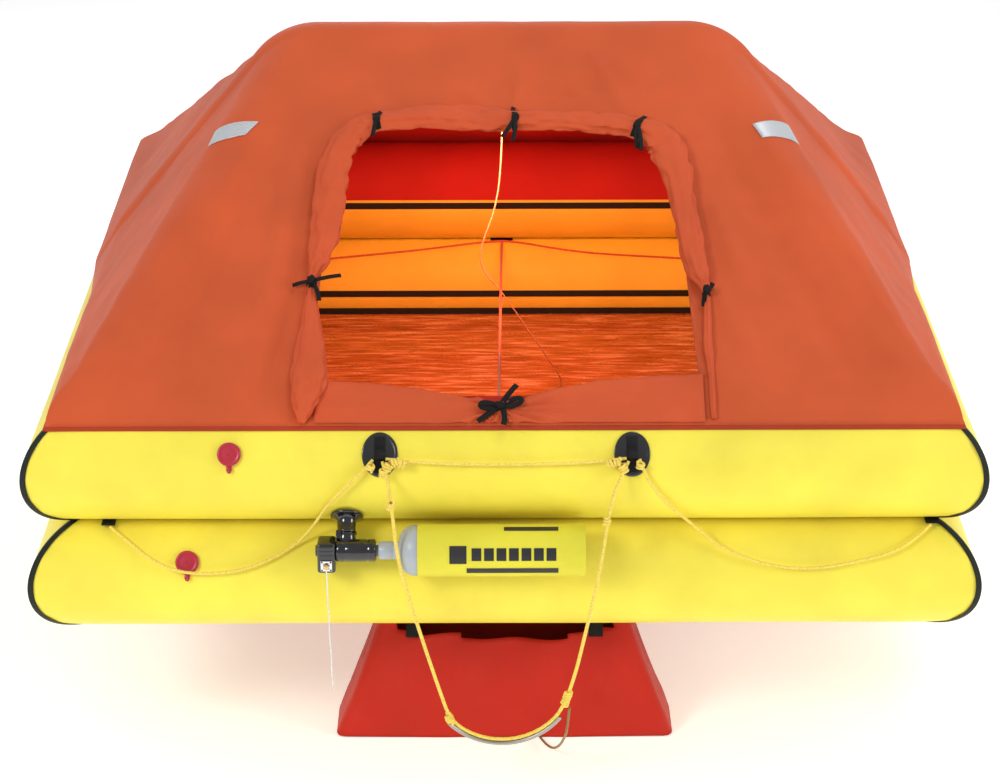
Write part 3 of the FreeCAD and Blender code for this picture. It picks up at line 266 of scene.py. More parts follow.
# Corner and seam tapes: black rubberised tape welded over the tubes' mitred corners, and
# flat along the seams where the floor and the inner skirts are glued.
tape_cloth = cloth("tape_cloth", (0.016, 0.020, 0.014), 0.42, pitch=0.002, depth=0.0003)
TAPE_OFFSETS = (-0.0122, -0.0110, -0.0055, 0.0, 0.0055, 0.0110, 0.0122)
TAPE_LIFT, TAPE_EDGE, TAPE_STEPS = 0.0011, 0.0004, 90


def corner_tapes(name, centre, low, high):
    """Bands over the four mitres of one ring, from one angle round the tube to another."""
    parts = []
    for side in range(4):
        rows = []
        for i in range(TAPE_STEPS + 1):
            turn = math.radians(low + (high - low) * i / TAPE_STEPS)
            row = []
            for off in TAPE_OFFSETS:
                radius = TUBE + (TAPE_EDGE if abs(off) > 0.012 else TAPE_LIFT)
                part = abs(off) / (2 * HALF + 2 * radius * math.cos(turn))
                if off >= 0:
                    row.append(ring_point(side, part, turn, radius, centre))
                else:
                    row.append(ring_point((side - 1) % 4, 1 - part, turn, radius, centre))
            rows.append(row)
        parts.append(lofted(rows, False))
    piece = put(f"{name}_bands", mesh_of(name, joined(parts)), [tape_cloth])
    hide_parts(name)


corner_tapes("lower_corner_tapes", LOWER, -90, 74)
corner_tapes("upper_corner_tapes", UPPER, -74, 52)
for label in ("lower_inner_tape", "upper_inner_tape", "floor_edge_tape"):
    recoat(label, tape_cloth)

# Floor and insulating mat: a cloth floor glued to the lower tube, and on it a loose mat
# with a clear face over crinkled foil. The mat's edges are rounded down to the floor.
floor_cloth = cloth("floor_cloth", (0.55, 0.20, 0.05), 0.5)
mat_paint = Paint("mat_foil", (0.45, 0.16, 0.05), 0.3, Metallic=0.35, Coat_Weight=0.5, Coat_Roughness=0.12)
# The ramp's pale top stop is painted glint on the crinkled foil; the darker stops are the mat's streaky
# colour.
streaks_and_glints = mat_paint.noise(9, 5, (1, 9, 1))
mat_paint.feed("Base Color", mat_paint.ramp(
    streaks_and_glints, (0.28, (0.26, 0.075, 0.020)), (0.5, (0.52, 0.17, 0.055)), (0.70, (0.90, 0.58, 0.36))))
mat_paint.feed("Roughness", mat_paint.noise(30, 3) * 0.4 + 0.12)
mat_paint.bump(mat_paint.noise(16, 5, (1, 5, 1)) + mat_paint.noise(60, 4) * 0.3, 0.006)


def smoothed(value, low, high):
    amount = min(1.0, max(0.0, (value - low) / (high - low)))
    return amount * amount * (3 - 2 * amount)


MAT_ROUND = 0.009


def mat_part():
    """The mat's crinkled top, with rounded edges, over a plain block of the solid's size."""
    low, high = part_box("floor_mat")
    rows = []
    count = 72
    for i in range(count + 1):
        row = []
        for j in range(count + 1):
            u, v = i / count, j / count
            x, y = low.x + (high.x - low.x) * u, low.y + (high.y - low.y) * v
            edge = min(u, 1 - u, v, 1 - v) * (high.x - low.x)
            z = high.z - MAT_ROUND * math.exp(-edge / 0.008)
            z -= 0.003 * abs(noise.noise(Vector((x * 7, y * 22, 1)))) * smoothed(edge, 0, 0.02)
            row.append(Vector((x, y, z)))
        rows.append(row)
    top = lofted(rows, False)
    ring = [Vector((x, y, 0)) for x, y in (
        (low.x, low.y), (high.x, low.y), (high.x, high.y), (low.x, high.y))]
    levels = [[p + Vector((0, 0, level)) for p in ring] for level in (high.z - MAT_ROUND, low.z)]
    return joined([top, lofted(levels, True, True)])


mat = put("floor_mat_foil", mesh_of("mat", mat_part()), [mat_paint.material])
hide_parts("floor_mat")
recoat("floor", floor_cloth)

# Arch: an inflated hoop that stands on the upper tube and carries the canopy.
# Its outline is two leaning legs, each with a bend at the foot and one at the shoulder.
arch_cloth = cloth("arch_cloth", (0.80, 0.25, 0.04), 0.45)
ARCH, TOP_RISE, FOOT_RISE = 0.065, 0.668, 0.178
FOOT_HALF, TOP_HALF, FOOT_BEND, TOP_BEND = 0.905, 0.506, 0.090, 0.130
ARCH_TOP = UPPER + TOP_RISE
SPANS = (4, 8, 16, 20, 96, 20, 16, 8, 4)


def hoop(grow, base):
    """Points along the arch's outline moved outward, in the X-Z plane, and their segments."""
    leg = Vector((TOP_HALF - FOOT_HALF, TOP_RISE - FOOT_RISE)).normalized()
    out = Vector((leg.y, -leg.x))
    start = Vector((FOOT_HALF, UPPER + FOOT_RISE)) + out * grow
    foot = FOOT_HALF + grow
    kink = start + leg * ((foot - start.x) / leg.x)
    top = start + leg * ((ARCH_TOP + grow - start.y) / leg.y)
    right = [Vector((foot, base)), kink, top]
    corners = [Vector((-p.x, p.y)) for p in right] + right[::-1]
    bends = [FOOT_BEND + grow, TOP_BEND + grow, TOP_BEND + grow, FOOT_BEND + grow]
    found, span, begin = [], 0, corners[0]
    for i in range(1, 5):
        before = (corners[i - 1] - corners[i]).normalized()
        after = (corners[i + 1] - corners[i]).normalized()
        turn = math.pi - before.angle(after)
        trim = bends[i - 1] * math.tan(turn / 2)
        one, two = corners[i] + before * trim, corners[i] + after * trim
        found += [(begin.lerp(one, k / SPANS[span]), span, k / SPANS[span]) for k in range(SPANS[span])]
        middle = corners[i] + (before + after).normalized() * bends[i - 1] / math.cos(turn / 2)
        span += 1
        for k in range(SPANS[span]):
            swing = Matrix.Rotation(-turn * k / SPANS[span], 2)
            found.append((middle + swing @ (one - middle), span, k / SPANS[span]))
        begin = two
        span += 1
    found += [(begin.lerp(corners[5], k / SPANS[8]), 8, k / SPANS[8]) for k in range(SPANS[8] + 1)]
    return found


def heading(points, i):
    """The direction of a line at one of its points."""
    return (points[min(i + 1, len(points) - 1)] - points[max(i - 1, 0)]).normalized()


def arch_part():
    """The hoop's tube along its outline."""
    line = [Vector((spot.x, 0, spot.y)) for spot, _, _ in hoop(0, UPPER + TUBE - 0.03)]
    side, size = Vector((0, 1, 0)), ARCH - 0.0008
    rows = []
    for i, spot in enumerate(line):
        over = heading(line, i).cross(side)
        rows.append([
            BASE + spot + (side * math.cos(a) + over * math.sin(a)) * size
            for a in [2 * math.pi * j / 40 for j in range(40)]
        ])
    return lofted(rows, True, True)


arch = put("arch_skin", mesh_of("arch", arch_part()), [arch_cloth])
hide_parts("arch_tube")

# Canopy: one sheet of orange coated cloth, glued round the upper tube and drawn over the arch.
# Its inner face has a deep red lining colour, which is painted glow: it stands in for the light
# that the orange cloth lets through. Its flat front panel has the doorway cut out, and towards
# the back its slack ends belly out over the seam.
canopy_cloth = cloth("canopy_cloth", (0.62, 0.092, 0.022), 0.52, soft=0.0015, Sheen_Weight=0.04)
# Painted glow: this deep red stands in for the light let through the orange canopy.
lining_painted_glow = cloth("lining_painted_glow", (0.46, 0.022, 0.014), 0.6, soft=0.0015)
SEAM_TURN = math.radians(54)
SEAM_OUT = HALF + TUBE * math.cos(SEAM_TURN)
SEAM_Z = UPPER + TUBE * math.sin(SEAM_TURN)
WALL = 0.003
CLOTH = ARCH + 0.001
CLIMB = ARCH_TOP - SEAM_Z
SLOPE = math.atan2(CLIMB, SEAM_OUT) + math.asin(CLOTH / math.hypot(SEAM_OUT, CLIMB))
PANEL_UP = Vector((0, math.cos(SLOPE), math.sin(SLOPE)))
PANEL_OUT = Vector((0, -math.sin(SLOPE), math.cos(SLOPE)))
PANEL = BASE + Vector((0, -SEAM_OUT, SEAM_Z))


def on_panel(x, up, out=0.0):
    """A point on the doorway panel: millimetres along it and up it, metres out of it."""
    return PANEL + Vector((x / 1000, 0, 0)) + PANEL_UP * (up / 1000) + PANEL_OUT * out


CREASE_GAIN = 2.1
CREASES = [
    (-589, 788, -844, 72, 34, 6), (-595, 670, -731, 259, 26, -4), (-481, 699, -576, 32, 30, 5),
    (621, 770, 926, 27, 36, 6), (516, 770, 797, 41, 30, -5), (485, 608, 532, 408, 22, 5),
    (475, 148, 600, 28, 24, 4), (209, 1078, 287, 891, 24, 4), (-54, 908, -173, 1047, 15, 3),
    (28, 886, 41, 1016, 14, 3), (111, 907, 231, 999, 14, -3), (-300, 905, -420, 1040, 22, 4),
    (330, 900, 440, 1010, 20, 4), (-700, 620, -905, 90, 28, 4), (700, 600, 870, 180, 26, -4),
    (-460, 420, -520, 80, 20, -3), (470, 380, 560, 160, 20, 3),
]


def crease_height(x, up):
    """Height in millimetres of the soft creases at a place on the doorway panel."""
    total = 0.0
    for x0, up0, x1, up1, width, height in CREASES:
        run = Vector((x1 - x0, up1 - up0))
        spot = Vector((x - x0, up - up0))
        share = spot.dot(run) / run.length_squared
        off = abs(spot.cross(run)) / run.length / width
        fade = smoothed(share, -0.25, 0.12) * (1 - smoothed(share, 0.8, 1.2))
        total += CREASE_GAIN * height * fade * math.exp(-off * off)
    return total


def seam_point(span, share, lift):
    """The seam section's point that matches one of the arch outline's."""
    half, z = SEAM_OUT + lift, SEAM_Z
    if span == 4:
        return Vector((-half + 0.006 + share * 2 * (half - 0.006), z))
    low = span < 4
    part = (span + share) / 4 if low else 1 - (span + share - 5) / 4
    if part < 0.25:
        flat = Vector((half, z - 0.0015 - (0.25 - part) * 0.12))
    else:
        flat = Vector((half - 0.006 * (part - 0.25) / 0.75, z - 0.0015 + 0.0015 * (part - 0.25) / 0.75))
    return Vector((-flat.x, flat.y)) if low else flat


RUNS, CROWN_RUNS = 46, 7


def canopy_rows(lift):
    """Rows of points over the raft: up the front, round the arch and down the back."""
    radius = CLOTH + lift
    rows = []
    for side, reverse in ((-1, False), (1, True)):
        seam_y = side * (SEAM_OUT + lift * math.sin(SLOPE))
        seam_lift = lift * math.cos(SLOPE)
        edge = hoop(radius * math.cos(SLOPE), SEAM_Z - 0.03)
        edge_y = side * radius * math.sin(SLOPE)
        part = []
        for i in range(RUNS + 1):
            share = i / RUNS
            row = []
            for spot, span, within in edge:
                foot = seam_point(span, within, lift)
                low = Vector((foot.x, seam_y, foot.y + seam_lift))
                row.append(low.lerp(Vector((spot.x, edge_y, spot.y)), share))
            part.append(row)
        arc = []
        for i in range(1, CROWN_RUNS):
            turn = SLOPE * (1 - i / CROWN_RUNS)
            level = hoop(radius * math.cos(turn), SEAM_Z - 0.03)
            arc.append([Vector((spot.x, side * radius * math.sin(turn), spot.y)) for spot, _, _ in level])
        part += arc
        rows.append(part[::-1] if reverse else part)
    middle = [Vector((spot.x, 0, spot.y)) for spot, _, _ in hoop(radius, SEAM_Z - 0.03)]
    return rows[0] + [middle] + rows[1]


def relief_height(spot):
    """How far the cloth stands off its smooth shape: fullness, creases and unevenness."""
    front = PANEL - BASE
    up = (spot - front).dot(PANEL_UP) * 1000
    depth = (spot - front).dot(PANEL_OUT)
    if spot.y < -0.04:
        flat = 1 - smoothed(abs(depth), 0.05, 0.35)
        height = crease_height(spot.x * 1000, up) * (0.35 + 0.65 * flat) / 1000
    else:
        height = crease_height(-spot.x * 1000, (-spot.y - front.y) * 1000 / math.cos(SLOPE)) / 1400
    edge = smoothed(spot.z, SEAM_Z + 0.005, SEAM_Z + 0.09)
    crown = 1 - smoothed(spot.z, ARCH_TOP - 0.05, ARCH_TOP + 0.06)
    side = smoothed(abs(spot.x), 0.55, 0.85)
    height += 0.007 * side * edge * crown * (1 - smoothed(abs(spot.x), 0.93, 0.985))
    height += 0.0045 * noise.noise(spot * 5.5) + 0.0024 * noise.noise(spot * 14)
    return height * edge * (0.25 + 0.75 * crown)


BELLY, OVERLAP = 0.021, 0.003


def canopy_relief(rows):
    """Moves the cloth in and out, and lets its ends belly out over the seam towards the back."""
    points, faces = lofted(rows, False)
    shape = bpy.data.meshes.new("relief")
    shape.from_pydata(points, [], faces)
    shape.update()
    moved = []
    for vertex in shape.vertices:
        spot = vertex.co
        out = vertex.normal if vertex.normal.z > 0 or abs(vertex.normal.z) < 0.2 else -vertex.normal
        belly = BELLY * smoothed(abs(spot.x), 0.88, 0.96) * smoothed(spot.y, -0.30, 0.05)
        belly *= math.exp(-(((spot.z - SEAM_Z - 0.018) / 0.055) ** 2))
        gap = max(0.0, SEAM_OUT + OVERLAP - abs(spot.x)) * smoothed(abs(spot.x), 0.93, 0.96)
        gap *= math.exp(-(((spot.z - SEAM_Z) / 0.06) ** 2))
        swell = Vector((math.copysign(belly + gap, spot.x), 0, 0))
        moved.append(spot + out * relief_height(spot) + swell)
    bpy.data.meshes.remove(shape)
    return moved, faces


DOOR_LOW, DOOR_HIGH, DOOR_FOOT, DOOR_HEAD, DOOR_CORNER = 50, 852, 431, 392, 95


def cut_doorway(mesh):
    """Cuts the doorway out of the front panel along its outline, in millimetres on the panel."""
    outline = [(DOOR_FOOT, DOOR_LOW)]
    for side in (1, -1):
        arc = []
        for k in range(5):
            turn = math.pi / 2 * k / 4
            across = DOOR_HEAD - DOOR_CORNER * (1 - math.cos(turn))
            arc.append((side * across, DOOR_HIGH - DOOR_CORNER * (1 - math.sin(turn))))
        outline += arc if side > 0 else arc[::-1]
    outline.append((-DOOR_FOOT, DOOR_LOW))
    edges = list(zip(outline, outline[1:] + outline[:1]))
    shape = bmesh.new()
    shape.from_mesh(mesh)
    for (x0, up0), (x1, up1) in edges:
        way = Vector((x1 - x0, up1 - up0)).normalized()
        normal = Vector((1, 0, 0)) * way.y - PANEL_UP * way.x
        spot = on_panel(x0, up0) - BASE
        middles = [(face, face.calc_center_median()) for face in shape.faces]
        faces = [face for face, middle in middles if middle.y < -0.06 and abs(middle.x) < 0.6]
        around = list({v for face in faces for v in face.verts})
        around += list({e for face in faces for e in face.edges}) + faces
        bmesh.ops.bisect_plane(shape, geom=around, plane_co=spot, plane_no=normal, dist=1e-5)

    def inside(face):
        middle = face.calc_center_median()
        if middle.y > -0.06:
            return False
        x, up = middle.x * 1000, (middle - (PANEL - BASE)).dot(PANEL_UP) * 1000
        return all(
            (x1 - x0) * (up - up0) - (up1 - up0) * (x - x0) >= 0 for (x0, up0), (x1, up1) in edges
        )

    bmesh.ops.delete(shape, geom=[f for f in shape.faces if inside(f)], context="FACES")
    shape.to_mesh(mesh)
    shape.free()


def thicken(piece, thickness, **settings):
    """Gives a skin the thickness of its cloth, inward unless told otherwise."""
    shell = piece.modifiers.new("thickness", "SOLIDIFY")
    shell.thickness = thickness
    for label, value in settings.items():
        setattr(shell, label, value)


outer = mesh_of("canopy", canopy_relief(canopy_rows(WALL)))
cut_doorway(outer)
outer.transform(Matrix.Translation(BASE))
canopy = put("canopy_sheet", outer, [canopy_cloth, lining_painted_glow])
# The inner shell takes the lining's painted glow colour.
thicken(canopy, 0.0022, material_offset=1, material_offset_rim=1)
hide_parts("canopy_front", "canopy_right", "canopy_back", "canopy_left")

# Reflective patches: silver sheet with a fine grid, glued on the canopy's front panel
# at both upper corners and laid on the cloth as it stands.
PATCH_START, PATCH_LIFT = 0.15, 0.0014
cloth_tree = BVHTree.FromPolygons([v.co for v in outer.vertices], [p.vertices[:] for p in outer.polygons])


def reflector_part(corners):
    """A patch between four corners in millimetres on the panel, laid on the canopy's sheet."""
    low_in, high_in, high_out, low_out = (Vector(corner) for corner in corners)
    rows = []
    for i in range(25):
        low, high = low_in.lerp(low_out, i / 24), high_in.lerp(high_out, i / 24)
        row = []
        for j in range(13):
            spot = low.lerp(high, j / 12)
            landed, _, _, _ = cloth_tree.ray_cast(on_panel(spot.x, spot.y, PATCH_START), -PANEL_OUT)
            row.append(landed + PANEL_OUT * PATCH_LIFT)
        rows.append(row)
    return lofted(rows, False)


silver = Paint("reflective_sheet", (0.40, 0.42, 0.45), 0.42, Metallic=0.15, Coat_Weight=0.12)
cells = silver.node("TexBrick", {
    "Vector": silver.place, "Scale": 60.0, "Mortar Size": 0.06, "Color1": (0.30, 0.32, 0.35, 1),
    "Color2": (0.42, 0.45, 0.48, 1), "Mortar": (0.62, 0.64, 0.66, 1)}, "Color")
silver.feed("Base Color", cells)
silver.bump(silver.noise(300, 2), 0.0006)
REFLECTORS = [
    ((-691, 810), (-678, 868), (-571, 852), (-600, 813)), ((583, 842), (674, 879), (696, 821), (604, 797)),
]
reflect_part = joined([reflector_part(corners) for corners in REFLECTORS])
reflect = put("reflective_sheet", mesh_of("reflect", reflect_part), [silver.material])
thicken(reflect, 0.0008)
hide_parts("reflective_patches")

# Canopy hem and lining skirt: the doubled edge that is stitched to the upper tube all
# round, and the lining that runs on from it over the tube to the tape inside the raft. The
# skirt's deep red is the same painted glow of the light that the canopy lets through.
hem_cloth = cloth("hem_cloth", (0.42, 0.040, 0.012), 0.6)
HEM_RAILS = ((-0.010, 0.0008), (-0.007, 0.0032), (0.0, 0.0032), (0.006, 0.0008))


def hem_rows():
    """The hem's strip round the upper tube: each rail is a way below the seam and a lift."""
    rows = []
    for side in range(4):
        for i in range(60):
            rows.append([
                ring_point(side, i / 60, SEAM_TURN + drop / TUBE, TUBE + lift, UPPER)
                for drop, lift in HEM_RAILS
            ])
    return rows + rows[:1]


put("canopy_hem", mesh_of("hem", lofted(hem_rows(), False)), [hem_cloth])
SKIRT_TOP, SKIRT_FOOT = 66, 173


def skirt_rows():
    """The skirt's rows round the upper tube, between two angles in degrees."""
    rows = []
    for side in range(4):
        for i in range(48):
            row = []
            for k in range(25):
                turn = math.radians(SKIRT_TOP + (SKIRT_FOOT - SKIRT_TOP) * k / 24)
                lift = 0.0010 + 0.0008 * noise.noise(Vector((side * 9 + i * 0.35, k * 0.22, 0)))
                row.append(ring_point(side, i / 48, turn, TUBE + lift, UPPER))
            rows.append(row)
    return rows + rows[:1]


# Painted glow: the skirt's red stands in for the light let through the canopy onto the tube.
skirt = put("lining_skirt", mesh_of("skirt", lofted(skirt_rows(), False)), [lining_painted_glow])

# Rolled door flap: the door's cloth, rolled up and bunched along the doorway's head and
# sides. Each station is a place on the front panel and a half width in millimetres, and a
# mark where a ribbon draws the roll in.
roll_cloth = cloth("roll_cloth", (0.63, 0.090, 0.024), 0.55, soft=0.003, Sheen_Weight=0.04)
ROLL_AROUND, ROLL_BACK = 44, 3.5
ROLL = [
    (-440, 4, 6, 0), (-436, 40, 22, 0), (-430, 117, 38, 0), (-427, 235, 25, 0), (-431, 376, 10, 1),
    (-417, 440, 23, 0), (-404, 520, 32, 0), (-396, 620, 35, 0), (-388, 716, 34, 0),
    (-366, 785, 33, 0), (-334, 826, 31, 0), (-295, 843, 26, 1), (-213, 855, 29, 0),
    (-123, 860, 33, 0), (-35, 852, 34, 0), (28, 848, 26, 1), (106, 849, 27, 0),
    (180, 845, 27, 0), (254, 838, 29, 0), (312, 822, 28, 1), (368, 788, 41, 0),
    (391, 725, 39, 0), (410, 614, 28, 0), (421, 514, 28, 0), (436, 408, 24, 0),
    (453, 347, 8, 1), (450, 218, 10, 0), (454, 130, 7, 0), (455, 14, 6, 0),
]


def blend_stations(stations, steps):
    """Stations eased between their neighbours, with the distance run so far."""
    found = []
    for i in range(len(stations) - 1):
        a = stations[max(i - 1, 0)]
        b, c = stations[i], stations[i + 1]
        d = stations[min(i + 2, len(stations) - 1)]
        for k in range(steps):
            s = k / steps
            found.append([
                0.5 * (2 * b[n] + (c[n] - a[n]) * s + (2 * a[n] - 5 * b[n] + 4 * c[n] - d[n]) * s**2
                       + (3 * b[n] - a[n] - 3 * c[n] + d[n]) * s**3)
                for n in range(4)
            ])
    found.append(list(stations[-1]))
    return found


def roll_thickness(half):
    """Half the roll's thickness off the panel at a station."""
    return min(13, 0.8 * half)


def roll_part():
    """The roll's skin: lengthwise folds, tighter at the ribbons, and soft puffs between them."""
    stations = blend_stations(ROLL, 10)
    rows = []
    for i, (x, up, half, tied) in enumerate(stations):
        ahead = stations[min(i + 1, len(stations) - 1)]
        behind = stations[max(i - 1, 0)]
        way = Vector((ahead[0] - behind[0], ahead[1] - behind[1])).normalized()
        half = max(half, 5)
        thick = roll_thickness(half)
        row = []
        for j in range(ROLL_AROUND):
            turn = 2 * math.pi * j / ROLL_AROUND
            fold = math.sin(turn * 5 + i * 0.10 + 1.6 * math.sin(i * 0.13))
            fold += 0.6 * math.sin(turn * 9 - i * 0.17)
            fold *= 0.095 + 0.05 * max(0.0, tied)
            puff = noise.noise(Vector((i * 0.30, math.cos(turn) * 1.3, math.sin(turn) * 1.3))) * 0.34
            size = 1 + fold + puff * (1 - 0.7 * max(0.0, tied))
            across = half * math.cos(turn) * min(size, 1.16)
            rise = thick * math.sin(turn) * min(size, 1.12)
            rise = max(rise, -thick * 0.96)
            out = (ROLL_BACK + thick + rise) / 1000
            row.append(on_panel(x - way.y * across, up + way.x * across, out))
        rows.append(row)
    return lofted(rows, True, True)


door_roll = put("door_roll_cloth", mesh_of("door_roll", roll_part()), [roll_cloth])
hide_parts("door_roll")

# Door sill: the lower flap, turned down over the panel and gathered by a bow at its
# middle. Folds fan out from the bow, and the free upper edge is hemmed.
SILL_TOP = [
    (-414, 104), (-384, 113), (-320, 110), (-218, 97), (-124, 81), (-60, 66), (-30, 58), (0, 56), (27, 64),
    (70, 80), (128, 96), (222, 115), (349, 126), (436, 129),
]


def sill_height(x):
    """The sill's free edge: millimetres up the panel at a place along it."""
    for (x0, up0), (x1, up1) in zip(SILL_TOP, SILL_TOP[1:]):
        if x <= x1:
            return up0 + (up1 - up0) * smoothed(x, x0, x1)
    return SILL_TOP[-1][1]


SILL_FOOT, SILL_STEPS = 5, 160


def sill_part():
    """The sill's cloth, with folds that fan out from the bow."""
    rows = []
    start, end = SILL_TOP[0][0], SILL_TOP[-1][0]
    for i in range(SILL_STEPS + 1):
        x = start + (end - start) * i / SILL_STEPS
        top = sill_height(x)
        row = []
        for k in range(17):
            share = k / 16
            up = SILL_FOOT + (top - SILL_FOOT) * share
            reach = math.hypot(x + 8, (up - 40) * 1.2)
            turn = math.atan2(up - 40, x + 8)
            fan = math.sin(turn * 19 + 2 * math.sin(turn * 5)) * math.exp(-((reach - 60) / 100) ** 2) * 4.6
            drift = 3.4 * noise.noise(Vector((x * 0.016, up * 0.035, 3)))
            height = 8.5 + fan + drift + 3.0 * math.exp(-((up - top) / 10) ** 2)
            row.append(on_panel(x, up, max(height, 3.5) / 1000))
        rows.append(row)
    return lofted(rows, False)


sill = put("door_sill_cloth", mesh_of("sill", sill_part()), [roll_cloth])
thicken(sill, 0.0016, offset=1)
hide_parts("door_sill")

# Door ties: black ribbons round the roll with knots and hanging tails, and the bow on
# the sill. They are sewn to the canopy beside the doorway.
ribbon = cloth("ribbon", (0.010, 0.010, 0.010), 0.6, pitch=0.0016, depth=0.0004)


def frame_on(origin, normal, up):
    """A placement with +Z along a normal and +Y as near as can be to up."""
    z = normal.normalized()
    x = up.cross(z).normalized()
    y = z.cross(x)
    turn = Matrix((x, y, z)).transposed().to_4x4()
    return Matrix.Translation(origin) @ turn


def spline_points(name, route):
    curve = bpy.data.curves.new(f"{name}_route", "CURVE")
    curve.dimensions = "3D"
    curve.resolution_u = 24
    spline = curve.splines.new("NURBS")
    spline.points.add(len(route) - 1)
    for point, spot in zip(spline.points, route):
        point.co = (*spot, 1)
    spline.order_u = 3
    spline.use_endpoint_u = True
    line = bpy.data.objects.new(f"{name}_route", curve)
    mesh = bpy.data.meshes.new_from_object(line)
    found = [v.co.copy() for v in mesh.vertices]
    bpy.data.objects.remove(line)
    bpy.data.meshes.remove(mesh)
    return found


def evenly(points, step):
    """Points at even distances along a polyline."""
    found, left = [points[0].copy()], step
    for a, b in zip(points, points[1:]):
        run = (b - a).length
        while left <= run and run > 0:
            a = a.lerp(b, left / run)
            found.append(a.copy())
            run = (b - a).length
            left = step
        left -= run
    if (found[-1] - points[-1]).length > step * 0.3:
        found.append(points[-1].copy())
    return found


def strip_part(points, width, normal, thickness=0.0012):
    """A flat ribbon through points, wide across the given normal."""
    rows = []
    for i, spot in enumerate(points):
        ahead = heading(points, i)
        side = ahead.cross(normal).normalized()
        out = side.cross(ahead).normalized()
        wide = width / 2
        rows.append([
            spot + side * wide + out * thickness / 2, spot - side * wide + out * thickness / 2,
            spot - side * wide - out * thickness / 2, spot + side * wide - out * thickness / 2,
        ])
    return lofted(rows, True, True)


def tie_band(x, up, half, way, wide=0.013):
    """A ribbon round the roll at a station, with thin edges."""
    thick = roll_thickness(half)
    rows = []
    edge, rim = wide / 2, wide / 2 - 0.001
    for shift, grow in ((-edge, 0.4), (-rim, 1.6), (rim, 1.6), (edge, 0.4)):
        row = []
        for j in range(36):
            turn = 2 * math.pi * j / 36
            across = (half + grow) * math.cos(turn)
            rise = max((thick + grow) * math.sin(turn), -thick)
            out = (ROLL_BACK + thick + rise) / 1000
            spot = on_panel(x - way.y * across, up + way.x * across, out)
            row.append(spot + (Vector((1, 0, 0)) * way.x + PANEL_UP * way.y) * shift)
        rows.append(row)
    return lofted(rows)


def taken(shape):
    """A bmesh as points and faces."""
    return [v.co.copy() for v in shape.verts], [tuple(v.index for v in f.verts) for f in shape.faces]


def knot_part(spot, size, normal, seed):
    """A small ribbon knot: a creased lump with two ears."""
    ball = bmesh.new()
    bmesh.ops.create_icosphere(ball, subdivisions=3, radius=1)
    place = frame_on(spot, normal, Vector((0.2, 0.3, 1)))
    for v in ball.verts:
        crush = 1 + 0.22 * noise.noise(v.co * 2.2 + Vector((seed, 0, 0)))
        crush -= 0.16 * abs(math.sin(v.co.x * 4 + seed))
        v.co = place @ Vector([v.co[axis] * size[axis] * crush for axis in range(3)])
    part = taken(ball)
    ball.free()
    return part


def tail_part(points, wide):
    """A ribbon's free end through places on the panel, lifted clear of the thick roll."""
    spots = [on_panel(x, up, (out + 4 * smoothed(out, 15, 26)) / 1000) for x, up, out in points]
    line = evenly(spline_points("tail", spots), 0.004)
    return strip_part(line, wide, PANEL_OUT + Vector((0.1, 0, 0)))


ties = []
for index, (x, up, half, tied) in enumerate(ROLL):
    if tied:
        before, after = ROLL[index - 1], ROLL[index + 1]
        way = Vector((after[0] - before[0], after[1] - before[1])).normalized()
        ties.append(tie_band(x, up, half, way))
        ties.append(knot_part(on_panel(x, up, 0.031), (0.010, 0.013, 0.006), PANEL_OUT, index))
TAILS = [
    ((-295, 838, 30), (-300, 812, 31), (-303, 790, 26)),
    ((-295, 850, 30), (-285, 868, 24), (-282, 880, 12)),
    ((28, 842, 30), (14, 812, 31), (-2, 786, 27)), ((28, 842, 30), (30, 806, 31), (22, 776, 26)),
    ((28, 852, 30), (20, 880, 20), (26, 896, 8)),
    ((312, 820, 30), (306, 784, 32), (310, 752, 27)), ((312, 820, 30), (322, 780, 33), (318, 744, 28)),
    ((312, 830, 30), (330, 852, 20), (334, 866, 10)),
    ((-431, 376, 22), (-400, 384, 26), (-364, 392, 22)),
    ((-431, 376, 22), (-414, 350, 25), (-412, 322, 22)),
    ((-431, 376, 22), (-456, 380, 16), (-474, 376, 8)), ((-431, 370, 20), (-440, 340, 14), (-436, 318, 8)),
    ((453, 347, 16), (462, 366, 12), (470, 380, 8)), ((453, 347, 16), (444, 330, 16), (446, 312, 12)),
]
ties += [tail_part(points, 0.010) for points in TAILS]
BOW = [
    ((-10, 46, 11), (-48, 58, 18), (-56, 34, 16), (-14, 40, 12)),
    ((-10, 46, 11), (34, 72, 18), (40, 44, 18), (-6, 42, 12)),
    ((-8, 46, 12), (-34, 26, 14), (-58, 6, 11)), ((-8, 46, 12), (4, 22, 16), (-2, -6, 16)),
    ((-8, 50, 12), (16, 88, 13), (28, 104, 10)),
]
ties += [tail_part(points, 0.012) for points in BOW]
ties.append(knot_part(on_panel(-10, 46, 0.014), (0.013, 0.011, 0.008), PANEL_OUT, 3))
door_ties = put("door_tie_ribbons", mesh_of("ties", joined(ties)), [ribbon])
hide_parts("door_ties")

# Ballast pockets: four bags of red cloth that hang under the floor and fill with water
# through a wide slot. Their lower edges are weighted with small bars.
pocket_cloth = cloth("pocket_cloth", (0.57, 0.020, 0.008), 0.45, soft=0.003)
# Painted shade: the bags' inner face is a darker red for the shadow inside the bag, seen through the slot.
pocket_inside_painted_shade = cloth("pocket_inside_painted_shade", (0.28, 0.012, 0.008), 0.6)
POCKET_TOP, SLOT_TOP = 0.411, 0.404
POCKET_FRONT = BASE.y - HALF
BAG_HALF, BAG_TAPER, BAG_LEAN, BAG_CORNER, BAG_PULL, BAG_COUNT = 0.392, 0.1465, 0.080, 0.018, 0.012, 150


